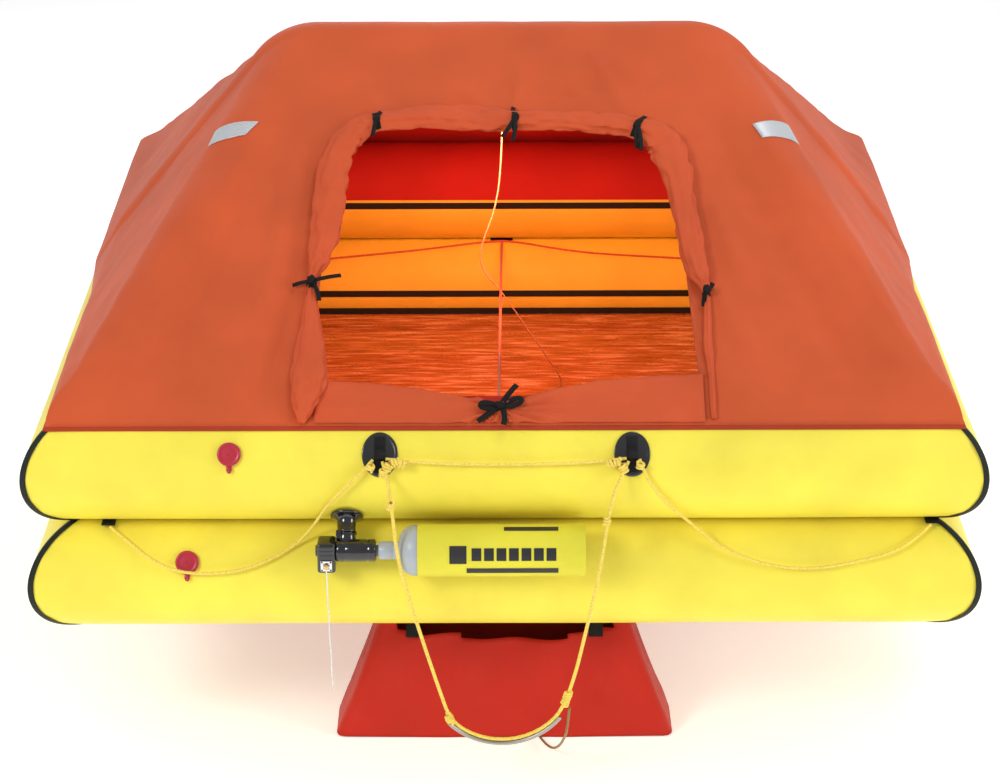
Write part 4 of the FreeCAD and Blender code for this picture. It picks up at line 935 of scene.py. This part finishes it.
def pocket_outline(z, seed):
    """The bag's cross-section at a height, as points round it from the front middle."""
    share = z / POCKET_TOP
    half = BAG_HALF - BAG_TAPER * share
    near = POCKET_FRONT + 0.050 + BAG_LEAN * share
    far = near + 0.165 + 0.005 * share
    headings = [Vector((0, 1)), Vector((-1, 0)), Vector((0, -1)), Vector((1, 0))]
    line = [Vector((0, near))]
    for i, spot in enumerate([(half, near), (half, far), (-half, far), (-half, near)]):
        into, back = headings[i], headings[(i + 1) % 4]
        line.append(Vector(spot) + back * BAG_CORNER)
        line.append(Vector(spot) + (back + into) * BAG_CORNER * 0.3)
        line.append(Vector(spot) + into * BAG_CORNER)
    line.append(Vector((0, near)))
    route = [Vector((p.x, p.y, 0)) for p in line]
    fine = evenly(route, 0.012)
    total = sum((b - a).length for a, b in zip(fine, fine[1:]))
    centre = Vector((0, (near + far) / 2, 0))
    pull = BAG_PULL * math.sin(math.pi * min(1, max(0, share)))
    edge = smoothed(z, 0.015, 0.09)
    points = []
    for p in evenly(route, total / BAG_COUNT * 0.99999)[:BAG_COUNT]:
        outward = (p - centre).normalized()
        sway = 0.015 * noise.noise(Vector((p.x * 6, p.y * 5, z * 5 + seed)))
        fold = 0.006 * math.sin(p.x * 38 + 4 * math.sin(z * 9 + seed)) * (1 - abs(share - 0.5))
        in_front = p.y < centre.y
        p = p + Vector((0, 1, 0)) * (sway + fold - pull) * edge * (-1 if in_front else 0.7)
        wave = 0.5 + 0.5 * math.sin(p.x * 31 + p.y * 17 + 2 * math.sin(p.x * 12 + seed))
        lifted = z + 0.003 * wave * (1 - smoothed(z, 0.0, 0.03))
        points.append(Vector((p.x - outward.x * pull * 0.6 * edge, p.y, lifted)))
    return points


def pocket_part(seed):
    """One bag without its slot, in front of the raft's middle."""
    rows = [pocket_outline(0.0005 + (POCKET_TOP - 0.0010) * i / 34, seed) for i in range(35)]
    outer, faces = lofted(rows)
    kept = []
    for face in faces:
        middle = sum((outer[i] for i in face), Vector()) / len(face)
        sill_z = 0.228 + 0.030 * abs(middle.x / 0.25) ** 2 + 0.004 * math.sin(middle.x * 40 + seed)
        half = 0.250 - 0.10 * (middle.z - 0.24)
        in_front = middle.y < POCKET_FRONT + 0.15
        if not (in_front and abs(middle.x) < half and sill_z < middle.z < SLOT_TOP):
            kept.append(face)
    kept.append(tuple(range(len(rows[0]))))
    return outer, kept


def turned(part, turn, shift):
    """A part turned about the raft's middle and moved back."""
    place = Matrix.Translation((0, BASE.y + shift, 0)) @ Matrix.Rotation(math.radians(turn), 4, "Z")
    place = place @ Matrix.Translation((0, -BASE.y, 0))
    points, faces = part
    return [place @ p for p in points], faces


POCKETS = [("front", 0, 0.0), ("right", 90, 0.145), ("back", 180, 0.0), ("left", 270, 0.145)]
for number, (label, turn, shift) in enumerate(POCKETS):
    bag_part = turned(pocket_part(number * 7.3), turn, shift)
    bag = put(f"pocket_{label}_bag", mesh_of("pocket", bag_part), [pocket_cloth, pocket_inside_painted_shade])
    # The inner shell takes the darker painted shade colour.
    thicken(bag, 0.0018, material_offset=1)
    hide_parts(f"ballast_pocket_{label}")

# Pocket straps: black webbing from the floor to the bag's slack edge, with two buckle
# bars on each, and the dark bars that weigh the bags down.
STRAP_AT, STRAP_LENGTH = 0.211, 0.172
webbing = cloth("webbing", (0.014, 0.014, 0.015), 0.55, pitch=0.003, depth=0.0008)


def box_part(size, place, bevel, steps=2):
    """A box of full sizes about the origin of a placement, with rounded edges."""
    shape = bmesh.new()
    bmesh.ops.create_cube(shape, size=1)
    bmesh.ops.scale(shape, vec=size, verts=shape.verts)
    bmesh.ops.bevel(shape, geom=shape.edges[:], offset=bevel, segments=steps, affect="EDGES", profile=0.5)
    bmesh.ops.transform(shape, matrix=place, verts=shape.verts)
    part = taken(shape)
    shape.free()
    return part


def strap_parts():
    """The two straps of one bag, with their buckle bars."""
    parts = []
    lean = math.atan2(BAG_LEAN, POCKET_TOP)
    down = Vector((0, -math.sin(lean), -math.cos(lean)))
    outward = Vector((0, -1, 0))
    for side in (-1, 1):
        start = Vector((side * STRAP_AT, POCKET_FRONT + 0.1278, POCKET_TOP - 0.002))
        line = [
            start + down * (STRAP_LENGTH * i / 24) + outward * 0.0012 * abs(math.sin(i * 0.8))
            for i in range(25)
        ]
        parts.append(strip_part(line, 0.033, outward, 0.0020))
        for drop in (0.052, 0.096):
            place = frame_on(start + down * drop + outward * 0.0020, outward, Vector((0, 0, 1)))
            parts.append(box_part((0.034, 0.004, 0.0022), place, 0.0008))
    return joined(parts)


straps = joined([turned(strap_parts(), turn, shift) for _, turn, shift in POCKETS])
strap_piece = put("pocket_strap_webbing", mesh_of("straps", straps), [webbing])
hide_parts("pocket_straps")


def hard(name, color, roughness, grain=0.0, grain_scale=900, **constants):
    paint = Paint(name, color, roughness, **constants)
    paint.feed("Roughness", paint.noise(60, 4) * 0.14 + (roughness - 0.07))
    if grain:
        paint.bump(paint.noise(grain_scale, 3), grain)
    return paint.material


recoat("pocket_weights", hard("dark_bar", (0.05, 0.05, 0.055), 0.5, 0.0003))

# Gas bottle: a painted steel bottle lying along the crevice between the tubes, in a
# yellow cloth cover with plain printed bars. The bottle is turned, with a domed shoulder.
bottle_paint = hard("bottle_paint", (0.40, 0.44, 0.48), 0.32, 0.0003, 300)
cover_cloth = cloth("cover_cloth", (0.86, 0.78, 0.06), 0.5, depth=0.0002)
COVER, CRADLE = 0.058, math.radians(34.7)
COVER_START, COVER_LENGTH = -0.190, 0.365
REACH = TUBE + COVER + 0.0003
AXIS = BASE + Vector((0, -HALF - REACH * math.cos(CRADLE), LOWER + REACH * math.sin(CRADLE)))
ALONG = Matrix.Translation(AXIS) @ Matrix.Rotation(math.radians(90), 4, "Y")


def lathe(profile, place, count, close=True):
    """A turned part: (radius, height) pairs about a placement's Z."""
    turns = [2 * math.pi * i / count for i in range(count)]
    rows = []
    for radius, height in profile:
        rows.append([place @ Vector((radius * math.cos(a), radius * math.sin(a), height)) for a in turns])
    return lofted(rows, True, close)


def rounded(radius, x, bend, sign, steps=8):
    """Quarter round from a cylinder to its end: (radius, height) pairs."""
    pairs = []
    for k in range(steps + 1):
        turn = math.pi / 2 * k / steps
        pairs.append((radius - bend * (1 - math.cos(turn)), x + sign * bend * math.sin(turn)))
    return pairs


bottle_profile = [
    (0.0115, -0.291), (0.0118, -0.2752), (0.0185, -0.2748), (0.0198, -0.2735), (0.0198, -0.246),
    (0.0190, -0.2445), (0.0190, -0.240), (0.0205, -0.2375), (0.0205, -0.230), (0.0215, -0.2298),
]
bottle_profile += rounded(0.0557, -0.196, 0.0338, -1, 12)[::-1] + [(0.0558, -0.15), (0.0558, 0.14)]
bottle_profile += rounded(0.0557, 0.147, 0.0238, 1) + [(0.02, 0.1709), (0.001, 0.1709)]
bottle = put("bottle_body", mesh_of("bottle", lathe(bottle_profile, ALONG, 64)), [bottle_paint])
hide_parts("gas_bottle")


def sleeve_part():
    """The cover's tube of cloth, with a hem at each end."""
    rows = []
    for i in range(75):
        x = COVER_START + COVER_LENGTH * i / 74
        hem = 0.0006 if min(i, 74 - i) < 4 else 0.0
        row = []
        for j in range(96):
            turn = 2 * math.pi * j / 96
            slack = noise.noise(Vector((x * 30, math.cos(turn) * 1.4, math.sin(turn) * 1.4)))
            size = 0.0572 + hem + 0.0005 * slack
            row.append(ALONG @ Vector((size * math.cos(turn), size * math.sin(turn), x)))
        rows.append(row)
    return lofted(rows, True, False)


sleeve = put("bottle_cover_cloth", mesh_of("sleeve", sleeve_part()), [cover_cloth])
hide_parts("bottle_cover")


def bar_part(x0, x1, turn0, turn1):
    """A printed block on the cover, between two places along it and two angles round it."""
    rows = []
    for i in range(13):
        x = x0 + (x1 - x0) * i / 12
        row = []
        for j in range(9):
            turn = math.radians(turn0 + (turn1 - turn0) * j / 8)
            row.append(AXIS + Vector((x, -math.cos(turn) * COVER, math.sin(turn) * COVER)))
        rows.append(row)
    return lofted(rows, False)


bars = [
    bar_part(-0.002, 0.116, 72, 86), bar_part(-0.120, -0.083, -5, 35), bar_part(-0.083, 0.116, -33, -17),
]
BLOCK_START, BLOCK_PITCH, BLOCK = -0.072, 0.027, 0.021
for i in range(7):
    start = BLOCK_START + BLOCK_PITCH * i
    bars.append(bar_part(start, start + BLOCK, 2, 30))
ink = hard("ink", (0.012, 0.012, 0.012), 0.5, 0.0002)
put("cover_print", mesh_of("print", joined(bars)), [ink])

# Firing head: a turned black barrel on the bottle's neck, with a stem up to the inlet
# valve on the upper tube. The moulded housing at its end holds the trigger, and the pin
# is pulled out of a bright bezel by its cord.
black_gloss = hard("black_gloss", (0.008, 0.008, 0.010), 0.14, Coat_Weight=0.6, Coat_Roughness=0.06)
bright_steel = hard("bright_steel", (0.80, 0.81, 0.82), 0.2, Metallic=1.0)
brass = hard("brass", (0.66, 0.47, 0.20), 0.28, Metallic=1.0)
stem_way = Vector((0, -HALF, UPPER)) + BASE - AXIS
STEM = frame_on(AXIS + Vector((-0.346, 0, 0)), stem_way, Vector((0, -1, 0)))
head_parts = [
    lathe(
        [(0.012, -0.2805), (0.0205, -0.2802), (0.0248, -0.283), (0.0248, -0.296), (0.0238, -0.2975),
         (0.0238, -0.3005), (0.0248, -0.302), (0.0248, -0.345), (0.0240, -0.3465), (0.0240, -0.3495),
         (0.0248, -0.351), (0.0248, -0.364), (0.0225, -0.3678), (0.001, -0.3678)], ALONG, 48),
    lathe([(0.021, 0.0), (0.021, 0.033), (0.0212, 0.0362), (0.001, 0.0366)], STEM, 40),
    box_part((0.012, 0.012, 0.020), STEM @ Matrix.Translation((0.016, 0.016, 0.030)), 0.002),
]
head = put("head_barrel", mesh_of("head", joined(head_parts)), [black_gloss])
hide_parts("firing_head")
flange_low = stem_way.length - TUBE - 0.008
inlet_profile = [
    (0.001, 0.0378), (0.0228, 0.0380), (0.0230, 0.041), (0.0205, 0.046), (0.0210, flange_low - 0.008),
    (0.0240, flange_low - 0.004), (0.030, flange_low + 0.0005), (0.0352, flange_low + 0.0012),
    (0.0364, flange_low + 0.0030), (0.0362, flange_low + 0.0062), (0.030, flange_low + 0.0068),
]
inlet = put("inlet_flange", mesh_of("inlet", lathe(inlet_profile, STEM, 56)), [black_gloss])
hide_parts("inlet_valve")

housing_place = Matrix.Translation(AXIS + Vector((-0.3883, 0, -0.0095)))
housing_parts = [box_part((0.0398, 0.0496, 0.0706), housing_place, 0.0065, 4)]
for drop in (-0.004, 0.006, 0.016):
    rib_place = housing_place @ Matrix.Translation((0, -0.0247, 0.012 + drop))
    housing_parts.append(box_part((0.030, 0.0020, 0.0030), rib_place, 0.0008))
end_place = Matrix.Translation(AXIS + Vector((-0.4083, 0, 0))) @ Matrix.Rotation(math.radians(-90), 4, "Y")
end_profile = [(0.0128, -0.002), (0.0128, 0.0032), (0.0118, 0.0040), (0.001, 0.0040)]
housing_parts.append(lathe(end_profile, end_place, 32))
housing = put("trigger_block", mesh_of("housing", joined(housing_parts)), [black_gloss])
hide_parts("trigger_housing")
PIN = Matrix.Translation(AXIS + Vector((-0.3883, -0.025, -0.025)))
PIN = PIN @ Matrix.Rotation(math.radians(90), 4, "X")
bezel_parts = []
for turn in range(4):
    place = PIN @ Matrix.Rotation(math.radians(90 * turn), 4, "Z") @ Matrix.Translation((0, 0.0095, 0.0015))
    bezel_parts.append(box_part((0.0248, 0.0056, 0.0028), place, 0.0009))
bezel_profile = [(0.0088, 0.0003), (0.0088, 0.0022), (0.0052, 0.0026), (0.0052, 0.0003)]
bezel_parts.append(lathe(bezel_profile, PIN, 40, False))
bezel = put("pin_bezel_plate", mesh_of("bezel", joined(bezel_parts)), [bright_steel])
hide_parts("pin_bezel")
pin_profile = [(0.001, -0.0205), (0.0040, -0.0205), (0.0044, -0.0195), (0.0044, 0.0040), (0.0058, 0.0045)]
pin_profile += [(0.0059, 0.0080), (0.0050, 0.0089), (0.001, 0.0090)]
pin = put("firing_pin_brass", mesh_of("pin", lathe(pin_profile, PIN, 32)), [brass], "pin")
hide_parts("firing_pin")

# Valve caps: red domed rubber caps with a pull tab, each over a black seat that is
# welded to the front tube. They turn about the tube's normal.
cap_rubber = hard("cap_rubber", (0.42, 0.008, 0.028), 0.33, 0.0002, Coat_Weight=0.25)
black_matt = hard("black_matt", (0.018, 0.018, 0.019), 0.5, 0.0003)


def on_tube(centre, angle, x, out=0.0):
    """A placement on the front tube's surface: +Z outward, +X along the tube, +Y up."""
    turn = math.radians(angle)
    normal = Vector((0, -math.cos(turn), math.sin(turn)))
    up = Vector((0, math.sin(turn), math.cos(turn)))
    spot = BASE + Vector((x, -HALF, centre)) + normal * (TUBE + out)
    return frame_on(spot, normal, up)


def cap_parts(place):
    """A cap with a raised rim, and its tab with a round end."""
    profile = [(0.0224, 0.0008), (0.0257, 0.0007), (0.0259, 0.0016), (0.0259, 0.0052)]
    profile += [(0.0252, 0.0068), (0.0235, 0.0074), (0.0200, 0.0074), (0.0188, 0.0069), (0.0170, 0.0068)]
    profile += [(0.0120, 0.0072), (0.0055, 0.0074), (0.001, 0.0074)]
    parts = [lathe(profile, place, 56, False)]
    tab = place @ Matrix.Translation((0, -0.0305, 0.0022)) @ Matrix.Rotation(math.radians(-4), 4, "X")
    parts.append(box_part((0.0125, 0.0120, 0.0017), tab, 0.0007, 2))
    end_profile = [(0.0008, 0.0030), (0.0045, 0.0030), (0.0052, 0.0024), (0.0052, 0.001)]
    parts.append(lathe(end_profile, place @ Matrix.Translation((0, -0.0365, 0)), 24, False))
    return joined(parts)


for label, centre, x in (("upper", UPPER, -0.596), ("lower", LOWER, -0.698)):
    place = on_tube(centre, 27.5, x)
    cap = put(f"{label}_cap_red", mesh_of("cap", cap_parts(place)), [cap_rubber], f"{label}_cap")
    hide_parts(f"{label}_valve_cap")
    recoat(f"{label}_valve_seat", black_matt)

# Line fittings: oval moulded patches that hug the upper tube, each with a webbing strap
# over it and a standing loop that the ropes are made fast to.
patch_vinyl = hard(
    "patch_vinyl", (0.010, 0.010, 0.012), 0.18, 0.0002, 500, Coat_Weight=0.5, Coat_Roughness=0.1)
FITTING_TURN, STRAP_HALF, LOOP = math.radians(27), 0.0385, 0.0105


def on_front(x, turn, out):
    """A point round the front upper tube at an angle in radians."""
    return BASE + Vector((x, -HALF - (TUBE + out) * math.cos(turn), UPPER + (TUBE + out) * math.sin(turn)))


def oval_part(x0):
    """An oval patch with a rolled rim, drawn in from its edge to its middle."""
    rings = [
        (1.0, 0.0004), (0.995, 0.0022), (0.965, 0.0029), (0.90, 0.0030), (0.84, 0.0022), (0.80, 0.0018),
        (0.60, 0.0019), (0.40, 0.0020), (0.20, 0.0022), (0.02, 0.0022),
    ]
    rows = []
    for size, lift in rings:
        row = []
        for j in range(72):
            turn = 2 * math.pi * j / 72
            across, along = 0.039 * size * math.cos(turn), 0.0495 * size * math.sin(turn)
            row.append(on_front(x0 + across, FITTING_TURN + along / TUBE, lift))
        rows.append(row)
    return lofted(rows)


def fitting_strap(x0):
    """The strap over an oval patch, and its standing loop."""
    rows = []
    for i in range(25):
        turn = FITTING_TURN + (-STRAP_HALF + 2 * STRAP_HALF * i / 24) / TUBE
        lift = 0.0042 + 0.0006 * math.cos(i * 1.6)
        rows.append([
            on_front(x0 + off, turn, lift if abs(off) < 0.011 else 0.0032)
            for off in (-0.012, -0.0105, 0, 0.0105, 0.012)
        ])
    parts = [lofted(rows, False)]
    place = on_tube(UPPER, 27, x0)
    line = [place @ Vector((0, LOOP, 0.0036))]
    for k in range(33):
        turn = math.pi * k / 32
        line.append(place @ Vector((0, LOOP * math.cos(turn), 0.0063 + LOOP * math.sin(turn))))
    line.append(place @ Vector((0, -LOOP, 0.0036)))
    side = place.to_3x3() @ Vector((1, 0, 0))
    rows = []
    for i, spot in enumerate(line):
        out = heading(line, i).cross(side).normalized()
        rows.append([
            spot + side * 0.0118 * across + out * 0.0012 * up
            for across, up in ((1, 1), (-1, 1), (-1, -1), (1, -1))
        ])
    parts.append(lofted(rows, True, True))
    return joined(parts)


for label, x0 in (("left", -0.270), ("right", 0.276)):
    patch = put(f"{label}_patch_moulding", mesh_of("patch", oval_part(x0)), [patch_vinyl])
    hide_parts(f"{label}_fitting_patch")
    strap = put(f"{label}_loop_strap", mesh_of("loop", fitting_strap(x0)), [webbing])
    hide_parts(f"{label}_webbing_loop")

# Ropes and cords: braided lines, each a spline through its route's points with the
# strands modelled. The routes are in millimetres in the raft's own axes.
def fibre(name, color, roughness=0.6):
    paint = Paint(name, color, roughness, Sheen_Weight=0.15)
    low, high = shades(color, 0.72, 1.12)
    paint.feed("Base Color", paint.ramp(paint.noise(320, 2), (0.3, low), (0.65, high)))
    paint.bump(paint.noise(1800, 2), 0.0004)
    return paint.material


yellow_rope = fibre("yellow_rope", (0.93, 0.68, 0.10))
red_rope = fibre("red_rope", (0.62, 0.13, 0.045))
olive_cord = fibre("olive_cord", (0.28, 0.17, 0.035))
thin_cord = fibre("thin_cord", (0.62, 0.30, 0.14), 0.45)
white_cord = fibre("white_cord", (0.80, 0.80, 0.78))


def at(x, y, z):
    """A point of the frame from millimetres in the raft's own axes."""
    return BASE + Vector((x, y, z)) / 1000


PLAITS, LAY = 4, 5.0


def braided(points, radius, depth=0.16, count=20):
    """A rope's skin along points: two sets of strands that cross."""
    rows = []
    side = (points[1] - points[0]).orthogonal().normalized()
    travelled = 0.0
    for i, point in enumerate(points):
        ahead = heading(points, i)
        side = (side - ahead * side.dot(ahead)).normalized()
        over = ahead.cross(side)
        if i:
            travelled += (point - points[i - 1]).length
        phase = travelled / (radius * LAY) * 2 * math.pi
        row = []
        for j in range(count):
            turn = 2 * math.pi * j / count
            one = math.sin(PLAITS * turn + phase)
            two = math.sin(PLAITS * turn - phase)
            size = radius * (1 - depth * (1 - max(one, two)) / 2)
            row.append(point + (side * math.cos(turn) + over * math.sin(turn)) * size)
        rows.append(row)
    return lofted(rows, True, True)


RING_STEP, PATH_STEP = 0.60, 0.004


def rope(name, route, radius, material, body="raft", depth=0.16):
    """A rope that replaces the solid of the same name."""
    line = evenly(spline_points(name, [at(*spot) for spot in route]), radius * RING_STEP)
    piece = put(f"{name}_rope", mesh_of(name, braided(line, radius, depth=depth)), [material], body)
    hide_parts(name)
    path = evenly(line, PATH_STEP)


BOARDING = [
    (-264, -1048.9, 446.1), (-250, -1082, 403), (-241, -1112, 335), (-233, -1122, 255),
    (-213, -1121, 165), (-192, -1119, 88), (-170, -1119, 9), (-146, -1119, -73),
    (-121.2, -1119, -154.4), (-69.4, -1119, -191.3), (-6.8, -1119, -204.6), (55.8, -1119, -191.3),
    (107.6, -1119, -154.4), (132.5, -1119, -111.5), (155, -1119, -38), (171, -1119, 38),
    (187, -1119, 115), (202, -1119, 195), (214, -1112, 268), (224, -1098, 338),
    (240, -1080, 400), (268, -1048.9, 446.1),
]
BRIDLE = [
    (-257.3, -1047, 451.5), (-190, -1055, 446), (-60, -1055, 441), (70, -1055, 441.5),
    (190, -1055, 446), (263.3, -1047, 451.5),
]
LEFT_LIFELINE = [
    (-871, -986, 262), (-830, -1014, 240), (-773, -1043, 204), (-712, -1058, 184),
    (-647, -1056, 180), (-577, -1052, 186), (-507, -1040, 210), (-450, -1016, 238),
    (-412, -1022, 290), (-385, -1052, 345), (-345, -1063, 390), (-306, -1060, 428),
    (-284.9, -1048, 450),
]
RIGHT_LIFELINE = [
    (291.7, -1048, 450), (304, -1058, 415), (330, -1062, 375), (372, -1048, 325),
    (418, -1012, 272), (470, -1032, 232), (545, -1047, 203), (620, -1054, 189),
    (695, -1054, 189), (775, -1047, 202), (845, -1040, 217), (900, -1020, 240),
    (941, -986, 262),
]
POCKET_LINE = [
    (143, -1117, -124), (138, -1100, -193), (136, -1070, -220), (126, -1010, -281),
    (110, -950, -326), (88, -900, -334), (78, -864.2, -335),
]
INNER_GRAB = [
    (-600, 805.4, 218.8), (-467, 811, 231), (-229, 830, 247), (-33, 857.2, 264), (29, 857.2, 264),
    (164, 831, 248), (276, 819, 238), (500, 810, 229), (600, 806, 222),
]
CROSS = [(0, 850.9, 262), (-6, 10, 375), (-12, -816.7, 492)]
LAMP = [
    (2, 0, 997.7), (-2, 0, 771), (-19, 0, 654), (-47, 0, 581), (-59, 10, 524), (-47, 20, 483),
    (-20, 27, 448), (10, 38, 404), (36, 53, 358), (62, 67, 312), (91, 84, 262), (118, 103, 212),
    (142, 124, 166), (154, 152, 131), (147, 174, 103), (132, 188, 86.8),
]
PULL = [
    (-388.3, -1105.4, 213.9), (-386.8, -1104.4, 176.9), (-387.3, -1103.4, 138.9), (-385.3, -1103.4, 90.9),
    (-385.3, -1104.4, 41.9), (-382.3, -1104.4, 3.9), (-383.3, -1105.4, -36.1), (-379.3, -1105.4, -85.1),
]
rope("boarding_line", BOARDING, 0.004, yellow_rope)
rope("bridle_line", BRIDLE, 0.0035, yellow_rope)
rope("left_lifeline", LEFT_LIFELINE, 0.0035, yellow_rope)
rope("right_lifeline", RIGHT_LIFELINE, 0.0035, yellow_rope)
rope("pocket_line", POCKET_LINE, 0.003, olive_cord)
rope("inner_grab_line", INNER_GRAB, 0.0025, red_rope)
rope("cross_line", CROSS, 0.0035, red_rope)
rope("lamp_line", LAMP, 0.00175, thin_cord, depth=0.1)
rope("pull_cord", PULL, 0.0015, white_cord, body="pin")

# Rope knots: turns of the same rope wound where the lines are made fast.
# Each has its place, the line's direction, the radii of rope and coil, and its turns.
def knot_rope(centre, way, radius, size, turns, seed):
    """A few turns of rope wound about a line, uneven as a hand-tied knot is."""
    way = Vector(way).normalized()
    side = way.orthogonal().normalized()
    over = way.cross(side)
    line = []
    steps = int(turns * 26)
    for k in range(steps + 1):
        share = k / steps
        turn = 2 * math.pi * turns * share + seed
        wound = size * (1 + 0.12 * math.sin(turn * 1.7 + seed))
        along = (share - 0.5) * radius * 1.9 * turns
        line.append(at(*centre) + way * along + (side * math.cos(turn) + over * math.sin(turn)) * wound)
    return braided(line, radius, count=14)


KNOTS = [
    ((-252, -1058, 437), (0.6, 0.1, 1), 0.0034, 0.0072, 3.2),
    ((-262, -1060, 424), (0.2, -0.3, 1), 0.0034, 0.0070, 2.6),
    ((-236, -1062, 449), (1, 0.1, 0.3), 0.0034, 0.0068, 3.0),
    ((-222, -1064, 446), (1, 0, -0.5), 0.0034, 0.0068, 2.4),
    ((-290, -1062, 438), (0.6, 0, 1), 0.0032, 0.0068, 2.6),
    ((-246, -1102, 366), (0.15, -0.3, 1), 0.0034, 0.0062, 3.4),
    ((256, -1062, 434), (-0.4, 0.3, 1), 0.0034, 0.0072, 3.2),
    ((242, -1060, 448), (1, 0, 0.2), 0.0034, 0.0068, 2.8),
    ((228, -1060, 446), (1, 0, 0.4), 0.0034, 0.0066, 2.4),
    ((293, -1056, 438), (0.2, 0, 1), 0.0032, 0.0068, 2.6),
    ((221, -1101, 326), (0.2, 0.2, 1), 0.0034, 0.0062, 2.6),
    ((-123, -1121, -148), (0.4, 0, -1), 0.0034, 0.0066, 3.6),
    ((134, -1121, -104), (0.3, 0, 1), 0.0034, 0.0066, 3.4),
    ((139, -1121, -88), (0.3, 0, 1), 0.0034, 0.0064, 2.4),
]
knots = joined([knot_rope(*facts, seed=i * 1.3) for i, facts in enumerate(KNOTS)])
put("rope_knots", mesh_of("knots", knots), [yellow_rope])

# Boarding step: a bent steel rod that the boarding line's lower bight runs along.
# Its ends are held by the knots above it.
dull_steel = hard("dull_steel", (0.42, 0.40, 0.37), 0.38, 0.0002, 1500, Metallic=1.0)
STEP_START, STEP_END, STEP_BEND, STEP_RADIUS = -47.2, 53.7, 159.8, 0.0049
step_line = []
for k in range(61):
    turn = math.radians(STEP_START + (STEP_END - STEP_START) * k / 60)
    step_line.append(at(-6.8 + STEP_BEND * math.sin(turn), -1119, -51.4 - STEP_BEND * math.cos(turn)))
step_part = braided(step_line, STEP_RADIUS, depth=0.0)
step_rod = put("boarding_step_rod", mesh_of("step", step_part), [dull_steel])
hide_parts("boarding_step")
recoat("lifeline_anchors", webbing)

# Studio: a white floor that glows a little, soft lights round the raft, and the red light
# that the real canopy lets through. The background is white to the camera only.
def stage_plane(name, size, z, color):
    mesh = bpy.data.meshes.new(name)
    corners = [(-size, -size, z), (size, -size, z), (size, size, z), (-size, size, z)]
    mesh.from_pydata(corners, [], [(0, 1, 2, 3)])
    paint = Paint(name, color, 0.9, Emission_Color=(1, 1, 1, 1), Emission_Strength=0.42)
    mesh.materials.append(paint.material)
    plane = bpy.data.objects.new(name, mesh)
    bpy.context.scene.collection.objects.link(plane)


stage_plane("studio_floor", 30, -0.001, (0.93, 0.93, 0.93))


def area_light(name, place, target, size, power, color=(1, 1, 1)):
    data = bpy.data.lights.new(name, "AREA")
    data.shape = "DISK"
    data.size = size
    data.energy = power
    data.color = color
    lamp = bpy.data.objects.new(name, data)
    lamp.location = place
    way = Vector(target) - Vector(place)
    lamp.rotation_euler = way.to_track_quat("-Z", "Y").to_euler()
    bpy.context.scene.collection.objects.link(lamp)


area_light("key", (-3.4, -4.0, 3.6), (0, 0, 0.6), 1.6, 110)
area_light("fill", (4.6, -2.6, 2.2), (0, 0, 0.6), 2.0, 90)
area_light("top", (1.4, 0.4, 5.0), (0, 0, 0.8), 2.0, 60)
area_light("back", (-1.0, 4.8, 3.0), (0, 0, 0.8), 2.6, 40)
area_light("cabin_glow", (0, -0.04, 1.16), (0, 0.50, 0.45), 0.4, 13, (1.0, 0.32, 0.20))

world = bpy.data.worlds.new("studio")
bpy.context.scene.world = world
world.use_nodes = True
tree = world.node_tree
tree.nodes.clear()
ambient = tree.nodes.new("ShaderNodeBackground")
white = tree.nodes.new("ShaderNodeBackground")
for background, strength in ((ambient, 0.50), (white, 1.0)):
    background.inputs["Color"].default_value = (1, 1, 1, 1)
    background.inputs["Strength"].default_value = strength
rays = tree.nodes.new("ShaderNodeLightPath")
seen = tree.nodes.new("ShaderNodeMixShader")
end = tree.nodes.new("ShaderNodeOutputWorld")
tree.links.new(rays.outputs["Is Camera Ray"], seen.inputs[0])
tree.links.new(ambient.outputs[0], seen.inputs[1])
tree.links.new(white.outputs[0], seen.inputs[2])
tree.links.new(seen.outputs[0], end.inputs[0])
bpy.context.scene.view_settings.view_transform = "Standard"

bpy.context.view_layer.update()
